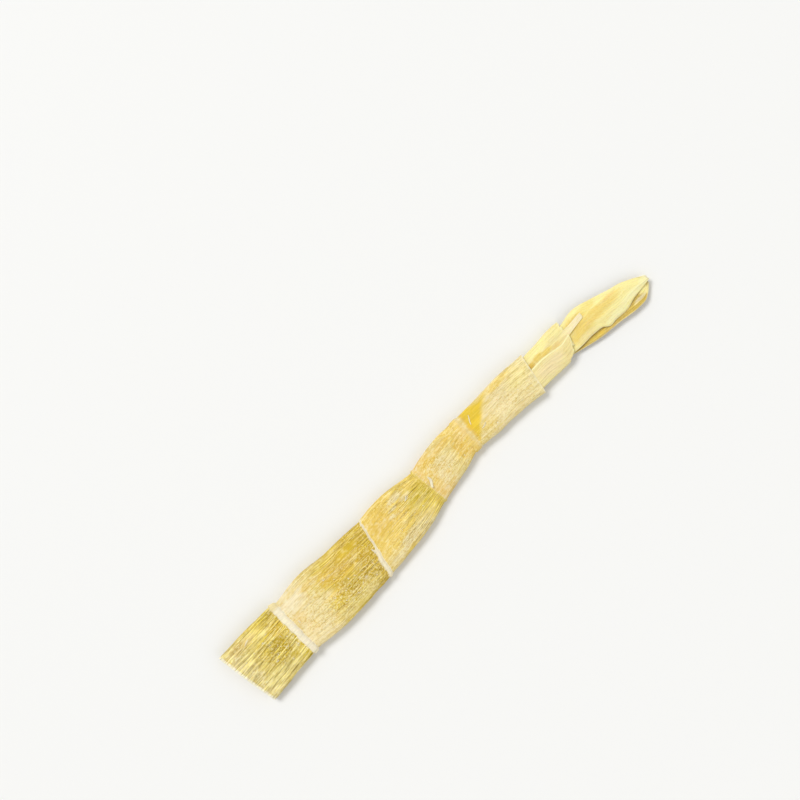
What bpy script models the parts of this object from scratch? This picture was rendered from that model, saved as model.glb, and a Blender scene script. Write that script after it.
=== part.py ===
"""A dried bamboo shoot, salted and pressed flat, lying on a surface.

+X runs along the shoot from its cut end to its tip, +Y is across it to its left and +Z is up. Lengths
below are in millimetres and become metres where a mesh is made. "Along" is measured from the middle of the
cut end. The origin is on the resting surface, under the middle of the whole shoot.
"""

import math

import bmesh
import bpy
import numpy as np

MM = 0.001

# Stem: where it ends, and the shape of its pressed section, a superellipse of this power
STEM_END = 221.0
SECTION_POWER = 3.2
RIM_WALL = 0.9
RIM_DEPTH = 2.4
RIM_FLARE = 0.35
RIM_FLARE_LENGTH = 2.5
CUT_LEAN = -0.15
RIM_LEAN = 0.2

# Node rings: (middle, length, rise above the stem, lean along for each millimetre to the left)
NODE_RINGS = (
    (37.0, 4.4, 1.0, 0.0),
    (97.4, 1.9, 0.75, 0.23),
    (140.2, 2.4, 0.5, -0.11),
    (172.8, 5.0, 0.45, 0.0),
)
RING_EDGE = 0.5

# Each internode's outline: (share of its length, left edge, right edge)
INTERNODE_EDGES = (
    ((0.0, 18.3, -18.1), (0.5, 18.9, -16.7), (1.0, 18.9, -14.7)),
    ((0.0, 17.7, -14.5), (0.33, 19.4, -16.9), (0.57, 17.8, -16.5), (0.8, 17.4, -15.9), (1.0, 16.6, -15.3)),
    ((0.0, 17.1, -15.1), (0.25, 17.9, -14.1), (0.62, 17.6, -12.2), (1.0, 15.5, -7.8)),
    ((0.0, 15.8, -7.4), (0.3, 18.0, -5.8), (0.64, 18.9, -4.2), (1.0, 19.0, -1.4)),
    ((0.0, 18.9, -1.1), (0.27, 19.0, -2.5), (0.55, 19.2, -2.8), (0.83, 18.8, -3.8), (1.0, 18.0, -5.0)),
)

# Lengthwise ridges of each internode: (ridges across a face, height, share of it low down)
INTERNODE_RIDGES = (
    (12, 0.34, 0.75),
    (11, 0.30, 0.15),
    (10, 0.26, 0.15),
    (8, 0.20, 0.25),
    (7, 0.20, 0.50),
)
RIDGE_GROWTH = 1.4

# Waves: (size, radians for each millimetre along, radians for each half width across, start)
RIDGE_WANDER = ((1.2, 0.0, 7.0, 0.0), (0.5, 0.09, 4.0, 1.0))
RIDGE_SWING = ((0.3, 0.06, 5.1, 0.0),)
WRINKLES = ((0.14, 0.077, 2.1, 0.0), (0.12, 0.043, -3.0, 0.6), (0.10, 0.14, 5.0, 0.0))
INTERNODE_SHIFT = 1.7

# Stem thickness and the height of its underside: (along, value)
STEM_THICKNESS = (
    (0.0, 6.4), (18.0, 7.0), (37.7, 6.9), (68.0, 7.6), (98.0, 6.8), (120.0, 7.1),
    (140.0, 6.4), (158.0, 6.9), (173.0, 6.5), (198.0, 6.7), (STEM_END, 6.6),
)
STEM_UNDERSIDE = ((0.0, 1.0), (37.7, 1.2), (98.0, 0.6), (140.0, 0.7), (173.0, 1.0), (STEM_END, 1.1))

# Slit mouth of the cut end: (along, distance of its sides from the stem's, half height)
MOUTH = ((13.0, 6.0, 0.4), (7.0, 3.6, 0.7), (0.0, 2.4, 0.95))

# Flat spot that the shoot rests on: middle, half length, half width, and how sharply it is pressed
REST_ALONG = 107.0
REST_HALF_LENGTH = 27.0
REST_HALF_WIDTH = 9.5
REST_PRESS = 4.0
LEAST_LIFT = 0.08

# Columns on a face of the stem and on its rounded sides, and the length of a row between rings
FACE_COLUMNS = 36
FACE_SHARE = 0.86
SIDE_PLACES = (0.93, 0.975, 0.997)
ROW_STEP = 7.0

# Leaves
LEAF_THICKNESS = 0.66
TIP_END = 300.0

# Outer sheath: (along, left edge, right edge) and (along, underside, top) of its middle surface
SHEATH_START = 219.1
SHEATH_END = 249.0
SHEATH_EDGES = (
    (SHEATH_START, 16.2, -2.6), (223.0, 16.6, -2.5), (231.0, 16.7, -2.6), (240.0, 17.4, -2.9),
    (SHEATH_END, 17.3, -2.8),
)
SHEATH_HEIGHTS = (
    (SHEATH_START, 2.5, 6.0), (221.6, 2.5, 6.0), (226.0, 1.9, 6.5), (235.0, 1.4, 6.7), (SHEATH_END, 1.4, 6.6),
)
SHEATH_OVERLAP_STEP = 1.05
SHEATH_STEP_START = 1.8 * math.pi
SHEATH_STEP_TURN = 0.4 * math.pi
SHEATH_MARGIN = (
    (SHEATH_START, 8.6), (222.5, 8.8), (228.0, 9.0), (233.4, 8.5), (238.6, 7.5), (242.5, 7.1), (246.0, 7.6),
    (SHEATH_END, 8.4),
)
SHEATH_INNER_MARGIN = 1.5
SHEATH_LEANS = ((SHEATH_START, RIM_LEAN), (SHEATH_END, 0.0))
SHEATH_RIBS = 9
SHEATH_ROWS = 12
SHEATH_COLUMNS = 44
SECTION_SAMPLES = 1500

# How far the sheath's torn top edge falls short of its end: (share of the way round, shortfall)
SHEATH_TEAR = (
    (0.0, 0.0), (0.07, 1.0), (0.12, 4.2), (0.17, 5.6), (0.21, 8.4), (0.30, 9.6), (0.38, 6.5), (0.50, 3.2),
    (0.62, 1.6), (0.70, 0.0), (0.80, 0.3), (1.0, 1.5),
)
SHEATH_JAGS = 0.5
JAG_SEED = 7

# Torn strip of the sheath that runs on over the tip leaf: its place and half width as shares of the way
# round, how blunt its end is, the share of the sheath's rows below it, its length and its sway to the left
STRIP_PLACE = 0.857
STRIP_HALF_WIDTH = 0.042
STRIP_BLUNT = 3.0
STRIP_FROM = 0.75
STRIP_LENGTH = 12.5
STRIP_SWAY = 1.4

# Tip leaf and under leaf: (along, left edge, right edge) and (along, middle height, rise of the left
# margin, rise of the right margin)
TIP_LEAF_EDGES = (
    (226.0, 12.0, 0.6), (240.0, 13.0, -0.8), (249.0, 14.4, -1.4), (259.2, 15.9, -1.5), (264.5, 14.9, -2.4),
    (267.5, 13.9, -5.2), (272.0, 12.4, -5.6), (281.6, 9.0, -5.1), (286.0, 7.4, -3.9), (293.0, 4.2, -2.0),
    (TIP_END, 0.9, -2.2),
)
TIP_LEAF_RISE = (
    (226.0, 3.95, 0.0, 0.0), (249.0, 4.1, -0.1, -0.1), (262.0, 5.0, -1.3, -0.9), (275.0, 5.6, -2.2, -1.7),
    (290.0, 5.6, -1.6, -1.2), (TIP_END, 5.2, -0.2, -0.2),
)
TIP_LEAF_GRID = (30, 14)
UNDER_LEAF_EDGES = (
    (226.0, 12.0, 0.4), (240.0, 12.4, -0.7), (249.0, 12.4, -3.0), (258.0, 12.0, -5.2), (274.0, 8.4, -7.0),
    (285.1, 4.6, -8.5), (291.6, 2.4, -8.0), (295.6, 1.0, -5.6), (298.8, -0.3, -2.9),
)
UNDER_LEAF_RISE = (
    (226.0, 2.85, 0.0, 0.0), (249.0, 2.75, 0.0, 0.1), (260.0, 2.0, 0.3, 1.0), (275.0, 1.5, 0.5, 2.3),
    (290.0, 1.6, 0.3, 2.2), (298.8, 2.6, 0.2, 0.6),
)
UNDER_LEAF_GRID = (26, 12)
LEAF_RIB = 0.12
RIB_SWAY = 0.7
RIB_SWAY_LENGTH = 9.0

# Colour and roughness of each piece
STEM_LOOK = ((0.80, 0.64, 0.26, 1.0), 0.75)
SHEATH_LOOK = ((0.86, 0.77, 0.46, 1.0), 0.8)
TIP_LEAF_LOOK = ((0.90, 0.81, 0.48, 1.0), 0.75)
UNDER_LEAF_LOOK = ((0.66, 0.55, 0.22, 1.0), 0.8)

# The two free leaves: name, outline, heights, grid, ribs across and look
LEAVES = (
    ("tip_leaf", TIP_LEAF_EDGES, TIP_LEAF_RISE, TIP_LEAF_GRID, 4, TIP_LEAF_LOOK),
    ("under_leaf", UNDER_LEAF_EDGES, UNDER_LEAF_RISE, UNDER_LEAF_GRID, 3, UNDER_LEAF_LOOK),
)


def clear_scene():
    for thing in list(bpy.data.objects):
        bpy.data.objects.remove(thing)


def follow(knots, at):
    """Reads a smooth curve through rows of (place, value, ...) at the given places."""
    table = np.array(knots, float)
    place, values = table[:, 0], table[:, 1:]
    slope = np.gradient(values, place, axis=0)
    first = np.clip(np.searchsorted(place, at) - 1, 0, len(place) - 2)
    span = (place[first + 1] - place[first])[:, None]
    share = np.clip((at - place[first])[:, None] / span, 0.0, 1.0)
    rest = 1.0 - share
    curve = values[first] * rest**2 * (1 + 2 * share) + values[first + 1] * share**2 * (3 - 2 * share)
    curve += span * share * rest * (slope[first] * rest - slope[first + 1] * share)
    return curve[:, 0] if curve.shape[1] == 1 else curve


def ease(share):
    """Runs from 0 to 1 with level ends."""
    share = np.clip(share, 0.0, 1.0)
    return share * share * (3 - 2 * share)


def waves(table, along, across, shift):
    """Adds up the waves of a table over the places along and across."""
    total = 0.0
    for size, per_along, per_across, start in table:
        total = total + size * np.sin(per_along * along + per_across * across + start + shift)
    return total


def internode_spans():
    """Start and end of each internode, between one ring and the next."""
    starts = [0.0] + [middle + length / 2 for middle, length, _, _ in NODE_RINGS]
    ends = [middle - length / 2 for middle, length, _, _ in NODE_RINGS] + [STEM_END]
    return list(zip(starts, ends))


def stem_rows():
    """Places along the stem for its rows: evenly along each internode, and at each ring's corners."""
    rows = []
    for start, end in internode_spans():
        steps = max(2, round((end - start) / ROW_STEP))
        rows.extend(np.linspace(start, end, steps + 1))
    for middle, length, _, _ in NODE_RINGS:
        rows.extend((middle - length / 2 + RING_EDGE, middle + length / 2 - RING_EDGE))
    rows.append(STEM_END - RIM_FLARE_LENGTH)
    return np.unique(np.round(rows, 3))


def stem_edges(along):
    """Left and right edge of the stem at each place along it."""
    corners = np.ravel(internode_spans())
    ends = np.array([knots[i][1:] for knots in INTERNODE_EDGES for i in (0, -1)])
    edges = np.stack([np.interp(along, corners, ends[:, side]) for side in (0, 1)], axis=1)
    for (start, end), knots in zip(internode_spans(), INTERNODE_EDGES):
        inside = (along >= start) & (along <= end)
        edges[inside] = follow(knots, (along[inside] - start) / (end - start))
    return edges


def stem_lean(along):
    """How far along a row leans for each millimetre to the left."""
    places = [0.0] + [ring[0] for ring in NODE_RINGS] + [STEM_END]
    leans = [CUT_LEAN] + [ring[3] for ring in NODE_RINGS] + [RIM_LEAN]
    return np.interp(along, places, leans)


def ring_rise(along):
    """Height of the node rings and of the flared rim above the stem."""
    rise = RIM_FLARE * ease((along - STEM_END + RIM_FLARE_LENGTH) / RIM_FLARE_LENGTH)
    for middle, length, height, _ in NODE_RINGS:
        rise += height * np.clip((length / 2 - np.abs(along - middle)) / RING_EDGE, 0.0, 1.0)
    return rise


def ridges(along, across, side):
    """Lengthwise ridges, which keep their places across an internode and grow towards its upper node."""
    relief = np.zeros(np.broadcast(along, across).shape)
    fade = 1.0 - np.abs(across) ** 10
    for number, (start, end) in enumerate(internode_spans()):
        count, height, low_share = INTERNODE_RIDGES[number]
        share = (along - start) / (end - start)
        inside = (share > 0.0) & (share < 1.0)
        strength = height * (low_share + (1 - low_share) * ease(share * RIDGE_GROWTH))
        shift = INTERNODE_SHIFT * number + side
        phase = math.pi * count * across + waves(RIDGE_WANDER, along, across, shift)
        swing = 1.0 + waves(RIDGE_SWING, along, across, shift)
        relief += np.where(inside, strength * swing * np.sin(phase) * fade, 0.0)
    return relief


def section_loop():
    """Places round the pressed section: shares of its half width, with 1 above and -1 below. The lower
    half repeats the upper one backwards, so that column c lies over column -1 - c."""
    face = np.linspace(-FACE_SHARE, FACE_SHARE, FACE_COLUMNS)
    side = np.array(SIDE_PLACES)
    upper = np.concatenate((-side[::-1], face, side))
    across = np.concatenate((upper, upper[::-1]))
    side_up = np.concatenate((np.ones(len(upper)), -np.ones(len(upper))))
    return across, side_up


def press_flat(along, across, height, below):
    """Presses the underside on to the resting plane round the middle of the weight."""
    far = ((along - REST_ALONG) / REST_HALF_LENGTH) ** 2 + (across / REST_HALF_WIDTH) ** 2
    flat = np.clip(REST_PRESS * (1.0 - far), 0.0, 1.0)
    pressed = np.maximum(height, LEAST_LIFT) * (1.0 - flat)
    return np.where(below, pressed, height)


def stem_rings(along, inset=0.0, half_height=None):
    """Rings of points round the stem. Without half_height they lie on its surface, with rings and relief.
    With half_height they line a hollow, whose sides are inset from the stem's."""
    across, side = section_loop()
    left, right = stem_edges(along).T
    thickness = follow(STEM_THICKNESS, along)
    middle_height = follow(STEM_UNDERSIDE, along) + thickness / 2
    outside = half_height is None
    half_width = ((left - right) / 2 - inset)[:, None]
    half_height = (thickness / 2 if outside else half_height)[:, None]
    column = along[:, None]
    round_part = (1.0 - np.abs(across) ** SECTION_POWER) ** (1.0 / SECTION_POWER)
    y = half_width * across
    z = half_height * round_part * side
    if outside:
        out_y = np.sign(across) * np.abs(across) ** (SECTION_POWER - 1) / half_width
        out_z = side * round_part ** (SECTION_POWER - 1) / half_height
        size = np.hypot(out_y, out_z)
        lift = ring_rise(along)[:, None] + ridges(column, across, side)
        lift = lift + waves(WRINKLES, column, across, side)
        y = y + lift * out_y / size
        z = z + lift * out_z / size
    z = z + middle_height[:, None]
    if outside:
        z = press_flat(column, y, z, side < 0)
    x = column + stem_lean(along)[:, None] * y
    y = y + ((left + right) / 2)[:, None]
    return np.stack((x, y, z), axis=2)


def loft(rings):
    """A closed mesh over rings of points, with each end closed straight across from top to bottom."""
    rows, columns = rings.shape[:2]
    faces = []
    for row in range(rows - 1):
        near, far = row * columns, (row + 1) * columns
        for c in range(columns):
            n = (c + 1) % columns
            faces.append((near + c, near + n, far + n, far + c))
    for start in (0, (rows - 1) * columns):
        for c in range(columns // 2 - 1):
            faces.append((start + c, start + c + 1, start + columns - 2 - c, start + columns - 1 - c))
    mesh = bpy.data.meshes.new("loft")
    mesh.from_pydata((rings.reshape(-1, 3) * MM).tolist(), [], faces)
    work = bmesh.new()
    work.from_mesh(mesh)
    bmesh.ops.recalc_face_normals(work, faces=work.faces)
    work.to_mesh(mesh)
    work.free()
    return mesh


def sheet(points):
    """An open mesh over a grid of points, split into triangles so that both faces of a leaf match."""
    rows, columns = points.shape[:2]
    work = bmesh.new()
    bmesh.ops.create_grid(work, x_segments=rows - 1, y_segments=columns - 1, size=1.0)
    for vertex in work.verts:
        row = round((vertex.co.x + 1) / 2 * (rows - 1))
        column = round((vertex.co.y + 1) / 2 * (columns - 1))
        vertex.co = points[row, column] * MM
    bmesh.ops.triangulate(work, faces=work.faces)
    mesh = bpy.data.meshes.new("sheet")
    work.to_mesh(mesh)
    work.free()
    return mesh


def make_material(name, look):
    colour, roughness = look
    material = bpy.data.materials.new(name)
    material.use_nodes = True
    shader = material.node_tree.nodes["Principled BSDF"]
    shader.inputs["Base Color"].default_value = colour
    shader.inputs["Roughness"].default_value = roughness
    shader.inputs["Metallic"].default_value = 0.0
    material.diffuse_color = colour
    return material


def add_piece(name, mesh, look, collection):
    mesh.name = name
    mesh.materials.append(make_material(name, look))
    mesh.shade_smooth()
    mesh.set_sharp_from_angle(angle=math.radians(50))
    piece = bpy.data.objects.new(name, mesh)
    collection.objects.link(piece)
    return piece


def thicken(piece):
    """Gives a leaf's open surface its thickness, half to each side."""
    solidify = piece.modifiers.new("Thickness", "SOLIDIFY")
    solidify.thickness = LEAF_THICKNESS * MM
    solidify.offset = 0.0
    solidify.use_even_offset = True


def make_stem(collection):
    """The hollow stem: slit mouth, outer surface from the cut end to the rim, and the cup inside the rim."""
    mouth_along, mouth_inset, mouth_height = np.array(MOUTH).T
    mouth = stem_rings(mouth_along, mouth_inset, mouth_height)
    outside = stem_rings(stem_rows())
    cup_along = np.array((STEM_END, STEM_END - RIM_DEPTH))
    cup_height = follow(STEM_THICKNESS, cup_along) / 2 - RIM_WALL
    cup = stem_rings(cup_along, RIM_WALL, cup_height)
    return add_piece("culm", loft(np.concatenate((mouth, outside, cup))), STEM_LOOK, collection)


def sheath_section(along):
    """One row of the outer sheath's middle surface: from its margin on top, round to the right, underneath,
    up the left side and on under the margin, evenly spaced. Gives (across, height) for each column."""
    place = np.array([along])
    left, right = follow(SHEATH_EDGES, place)[0]
    under, top = follow(SHEATH_HEIGHTS, place)[0]
    half_width, half_height = (left - right) / 2, (top - under) / 2
    middle = (left + right) / 2

    def angle_at(across):
        share = (across - middle) / half_width
        return math.acos(math.copysign(abs(share) ** (SECTION_POWER / 2), share))

    start = angle_at(float(follow(SHEATH_MARGIN, place)[0]))
    end = 2 * math.pi + angle_at(SHEATH_INNER_MARGIN)
    angle = np.linspace(start, end, SECTION_SAMPLES)
    inset = SHEATH_OVERLAP_STEP * ease((angle - SHEATH_STEP_START) / SHEATH_STEP_TURN)
    wide, high = np.cos(angle), np.sin(angle)
    y = (half_width - inset) * np.sign(wide) * np.abs(wide) ** (2 / SECTION_POWER)
    z = (half_height - inset) * np.sign(high) * np.abs(high) ** (2 / SECTION_POWER)
    length = np.concatenate(([0.0], np.cumsum(np.hypot(np.diff(y), np.diff(z)))))
    even = np.linspace(0.0, length[-1], SHEATH_COLUMNS)
    return np.interp(even, length, y) + middle, np.interp(even, length, z) + (under + top) / 2


def make_outer_sheath(collection):
    """The wrapped sheath above the rim, with its margins overlapping and its top edge torn."""
    rng = np.random.default_rng(JAG_SEED)
    around = np.linspace(0.0, 1.0, SHEATH_COLUMNS)
    shortfall = np.interp(around, *np.array(SHEATH_TEAR).T) + SHEATH_JAGS * rng.random(SHEATH_COLUMNS)
    strip = ease(STRIP_BLUNT * (1.0 - np.abs(around - STRIP_PLACE) / STRIP_HALF_WIDTH))
    ribs = LEAF_RIB * np.sin(2 * math.pi * SHEATH_RIBS * around)
    rows = []
    for share in np.linspace(0.0, 1.0, SHEATH_ROWS):
        along = SHEATH_START + (SHEATH_END - SHEATH_START) * share
        y, z = sheath_section(along)
        middle = follow(SHEATH_EDGES, np.array([along]))[0].mean()
        lean = np.interp(along, *np.array(SHEATH_LEANS).T)
        reach = strip * max(0.0, (share - STRIP_FROM) / (1.0 - STRIP_FROM))
        x = along + lean * (y - middle) - shortfall * share**2 + STRIP_LENGTH * reach
        rows.append(np.stack((x, y + STRIP_SWAY * reach, z + ribs), axis=1))
    piece = add_piece("outer_sheath", sheet(np.array(rows)), SHEATH_LOOK, collection)
    thicken(piece)
    return piece


def leaf_points(edges, rises, grid, ribs):
    """A leaf's middle surface: rows along it and columns from its right margin to its left one."""
    rows, columns = grid
    along = np.linspace(edges[0][0], edges[-1][0], rows)
    left, right = follow(edges, along).T
    height, left_rise, right_rise = follow(rises, along).T
    across = np.linspace(-1.0, 1.0, columns)
    share = (across + 1) / 2
    y = right[:, None] * (1 - share) + left[:, None] * share
    bend = np.where(across > 0, left_rise[:, None], right_rise[:, None]) * across**2
    fade = 1.0 - across**8
    sway = RIB_SWAY * np.sin(along / RIB_SWAY_LENGTH)[:, None]
    rib = LEAF_RIB * np.sin(math.pi * ribs * across + sway) * fade
    z = height[:, None] + bend + rib
    x = np.broadcast_to(along[:, None], z.shape)
    return np.stack((x, y, z), axis=2)


def make_leaf(name, edges, rises, grid, ribs, look, collection):
    piece = add_piece(name, sheet(leaf_points(edges, rises, grid, ribs)), look, collection)
    thicken(piece)
    return piece


def stand_on_origin(pieces):
    """Moves the shoot so that the origin is on the resting surface, under the middle of its box."""
    bpy.context.view_layer.update()
    graph = bpy.context.evaluated_depsgraph_get()
    corners = np.array([tuple(v.co) for p in pieces for v in p.evaluated_get(graph).data.vertices])
    low, high = corners.min(axis=0), corners.max(axis=0)
    for piece in pieces:
        piece.location = (-(low[0] + high[0]) / 2, -(low[1] + high[1]) / 2, -low[2])


def main():
    clear_scene()
    shoot = bpy.data.collections.new("bamboo_shoot")
    bpy.context.scene.collection.children.link(shoot)
    pieces = [make_stem(shoot), make_outer_sheath(shoot)]
    for name, edges, rises, grid, ribs, look in LEAVES:
        pieces.append(make_leaf(name, edges, rises, grid, ribs, look, shoot))
    stand_on_origin(pieces)


main()
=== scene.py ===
"""The looks of a dried, salted and pressed bamboo shoot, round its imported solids.

The stem, its sheath and its two leaves are made again as finer meshes over the same forms, in the shoot's
own millimetres: "along" runs from the middle of the cut end to the tip, and "across" to the left.
"""

import math

import bmesh
import bpy
import numpy as np
from mathutils import Matrix, Vector


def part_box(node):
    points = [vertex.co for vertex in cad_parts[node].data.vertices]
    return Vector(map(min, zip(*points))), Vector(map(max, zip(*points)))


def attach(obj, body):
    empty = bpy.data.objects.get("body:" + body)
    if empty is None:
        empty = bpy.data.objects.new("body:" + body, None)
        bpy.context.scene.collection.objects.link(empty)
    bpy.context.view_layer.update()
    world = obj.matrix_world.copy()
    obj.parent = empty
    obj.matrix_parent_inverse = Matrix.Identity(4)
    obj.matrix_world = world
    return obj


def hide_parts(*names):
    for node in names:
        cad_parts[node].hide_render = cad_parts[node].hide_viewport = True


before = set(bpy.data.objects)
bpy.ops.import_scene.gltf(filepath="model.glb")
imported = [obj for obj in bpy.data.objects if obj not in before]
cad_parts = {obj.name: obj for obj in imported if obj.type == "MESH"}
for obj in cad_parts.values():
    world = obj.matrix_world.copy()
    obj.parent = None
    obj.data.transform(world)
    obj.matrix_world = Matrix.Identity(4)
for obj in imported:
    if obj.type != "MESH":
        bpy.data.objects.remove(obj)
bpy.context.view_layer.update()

MM = 0.001

# Table size of the noise, and the angle between faces above which an edge is sharp
NOISE_SIZE = 512
SHARP_ANGLE = math.radians(60)

# Stem: where it ends, and its pressed section, a superellipse of this power
STEM_END = 221.0
SECTION_POWER = 3.2
RIM_WALL = 0.4
RIM_DEPTH = 2.4
RIM_FLARE = 0.12
RIM_FLARE_LENGTH = 2.5
CUT_LEAN = -0.15
RIM_LEAN = 0.2

# Node rings: (middle, length, rise above the stem, lean along for each millimetre to the left)
NODE_RINGS = (
    (37, 4.4, 1, 0),
    (97.4, 1.9, 0.75, 0.23),
    (140.2, 2.4, 0.5, -0.11),
    (172.8, 5, 0.45, 0),
)
RING_EDGE = 0.5
RING_UPPER_SLOPE = 0.4
RING_SPREAD = 0.15

# Each ring's step: (place across, shift of its right part towards the cut end, share of its length left
# and right of the step), and its look: (colour, strength, softness of its lower edge, of its upper edge)
RING_STEPS = ((12, 0.1, 1.04, 1), (1.2, 0.7, 0.75, 1.5), (0, 0, 1, 1), (0, 0, 1, 1))
RING_STEP_TURN = 1.6
RING_LOOKS = (
    ("cream", 1, 0.3, 0.5), ("cream", 0.95, 0.35, 0.35), ("pale", 0.3, 2, 1.2), ("peach", 0.45, 4, 0.35)
)
RIM_PALENESS = 0.6
RIM_BAND = 0.8
RIM_BAND_SOFT = 0.5

# Each internode's outline: (share of its length, left edge, right edge)
INTERNODE_EDGES = (
    ((0, 18.3, -18.1), (0.5, 18.9, -16.7), (1, 18.9, -14.7)),
    ((0, 17.7, -14.5), (0.33, 19.4, -16.9), (0.57, 17.8, -16.5), (0.8, 17.4, -15.9), (1, 16.6, -15.3)),
    ((0, 17.1, -15.1), (0.25, 17.9, -14.1), (0.62, 17.6, -12.2), (1, 15.5, -7.8)),
    ((0, 15.8, -7.4), (0.3, 18, -5.8), (0.64, 18.9, -4.2), (1, 19, -1.4)),
    ((0, 18.9, -1.1), (0.27, 19, -2.5), (0.55, 19.2, -2.8), (0.83, 18.8, -3.8), (1, 18, -5)),
)

# Lengthwise ridges of each internode: (ridges across a face, height, share of it low down)
INTERNODE_RIDGES = (
    (12, 0.34, 0.75),
    (11, 0.30, 0.15),
    (10, 0.26, 0.15),
    (8, 0.20, 0.25),
    (7, 0.20, 0.50),
)
RIDGE_GROWTH = 1.4
RIDGE_SHARE = 0.35
RIDGE_END = 1.2

# Waves: (size, radians for each millimetre along, radians for each half width across, start)
RIDGE_WANDER = ((1.2, 0, 7, 0), (0.5, 0.09, 4, 1))
RIDGE_SWING = ((0.3, 0.06, 5.1, 0),)
WRINKLES = ((0.14, 0.077, 2.1, 0), (0.12, 0.043, -3, 0.6), (0.10, 0.14, 5, 0))
INTERNODE_SHIFT = 1.7

# Stem thickness and the height of its underside: (along, value)
STEM_THICKNESS = (
    (0, 6.4), (18, 7), (37.7, 6.9), (68, 7.6), (98, 6.8), (120, 7.1),
    (140, 6.4), (158, 6.9), (173, 6.5), (198, 6.7), (STEM_END, 6.6),
)
STEM_UNDERSIDE = ((0, 1), (37.7, 1.2), (98, 0.6), (140, 0.7), (173, 1), (STEM_END, 1.1))
MOUTH = ((13, 6, 0.4), (7, 3.6, 0.7), (0, 2.4, 0.95))

# Flat spot that the shoot rests on
REST_ALONG = 107.0
REST_HALF_LENGTH = 27.0
REST_HALF_WIDTH = 9.5
REST_PRESS = 4.0
LEAST_LIFT = 0.08

# Fine mesh of the stem: columns over it and under it, even on a section of typical size, the length of its
# rows, of those near a ring's corners and of the shortest, rows at its ends, and the way round it
UPPER_COLUMNS = 182
LOWER_COLUMNS = 62
SECTION_SAMPLES = 4001
TYPICAL_HALF_WIDTH = 17.0
TYPICAL_HALF_HEIGHT = 3.4
STEM_ROW = 0.78
RING_ROW = 0.17
RING_ROW_REACH = 1.0
LEAST_ROW = 0.06
END_ROWS = (0.12, 0.25, STEM_END - 0.25, STEM_END - 0.1)
STEM_GIRTH = 80.0

# Fibres of each internode: (grooves round it, depth, share of the depth low down, share of fine grooves,
# and how strongly they show, as bump, as painted shade in their grooves and as painted highlight on their
# crests, low down and high up)
INTERNODE_FIBRES = (
    (92, 0.42, 0.95, 0.8, 1.00, 1),
    (88, 0.28, 0.25, 0.9, 0.25, 0.65),
    (84, 0.25, 0.20, 0.9, 0.22, 0.80),
    (78, 0.15, 0.30, 0.8, 0.16, 0.35),
    (72, 0.13, 0.45, 1, 0.22, 0.28),
)
GROOVE_LENGTH = 15.0
FINE_GROOVE_LENGTH = 8.0
GROOVE_GROWTH = 1.5

# How far below a ring's upper edge the next internode begins
NODE_LEAD = 1.2

# Layers of noise that close up round the stem: (size, bumps round it, length of a bump, seed)
GROOVE_WANDER = ((0.006, 14, 9, 40), (0.003, 40, 4, 60))
GROOVE_PATCHES = ((0.35, 9, 12, 30),)
DENTS = ((0.22, 13, 6.5, 89),)
SKIN_GRAIN = ((0.05, 60, 1.6, 83),)
RING_GRAIN = ((0.06, 90, 0.8, 87),)
RING_RAGGED = ((0.28, 46, 1, 84), (0.112, 130, 1, 86))
STREAKS = ((1, 70, 12, 80), (0.6, 150, 6, 81))
CLOUDS = ((1, 12, 8, 82),)
MOTTLES = ((0.7, 60, 1.9, 83), (0.5, 110, 0.9, 85))
STRIATIONS = ((1, 200, 1.5, 88),)

# Outer sheath: (along, left edge, right edge) and (along, underside, top) of its middle surface
SHEATH_START = 219.1
SHEATH_END = 249.0
SHEATH_EDGES = (
    (SHEATH_START, 16.2, -2.6), (223, 16.6, -2.5), (231, 16.7, -2.6), (240, 17.4, -2.9),
    (SHEATH_END, 17.3, -2.8),
)
SHEATH_HEIGHTS = (
    (SHEATH_START, 2.2, 6.9), (221.6, 2.2, 7), (226, 1.9, 6.9), (235, 1.4, 6.8), (SHEATH_END, 1.4, 6.6),
)
SHEATH_OVERLAP_STEP = 0.85
SHEATH_STEP_START = 1.8 * math.pi
SHEATH_STEP_TURN = 0.4 * math.pi
SHEATH_MARGIN = (
    (SHEATH_START, 8.6), (222.5, 8.8), (228, 9), (233.4, 8.5), (238.6, 7.5), (242.5, 7.1), (246, 7.6),
    (SHEATH_END, 8.4),
)
SHEATH_INNER_MARGIN = 1.5
SHEATH_LEANS = ((SHEATH_START, RIM_LEAN), (SHEATH_END, 0))
SHEATH_RIBS = 9
SHEATH_ROWS = 110
SHEATH_COLUMNS = 300
SHEATH_SAMPLES = 1500
SHEATH_GIRTH = 64.0

# How far the sheath's torn top edge falls short: (share of the way round, shortfall)
SHEATH_TEAR = (
    (0, 0), (0.07, 1), (0.12, 3), (0.165, 3.6), (0.185, 5.4), (0.19, 6.6), (0.21, 8.2), (0.30, 9.6),
    (0.38, 6.5), (0.50, 3.2), (0.62, 1.6), (0.70, 0), (0.80, 0.3), (1, 1.5),
)
SHEATH_JAGS = 0.5

# Torn strip of the sheath
STRIP_PLACE = 0.857
STRIP_HALF_WIDTH = 0.038
STRIP_BLUNT = 4.0
STRIP_FROM = 0.75
STRIP_LENGTH = 12.5
STRIP_SWAY = 1.4

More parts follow.
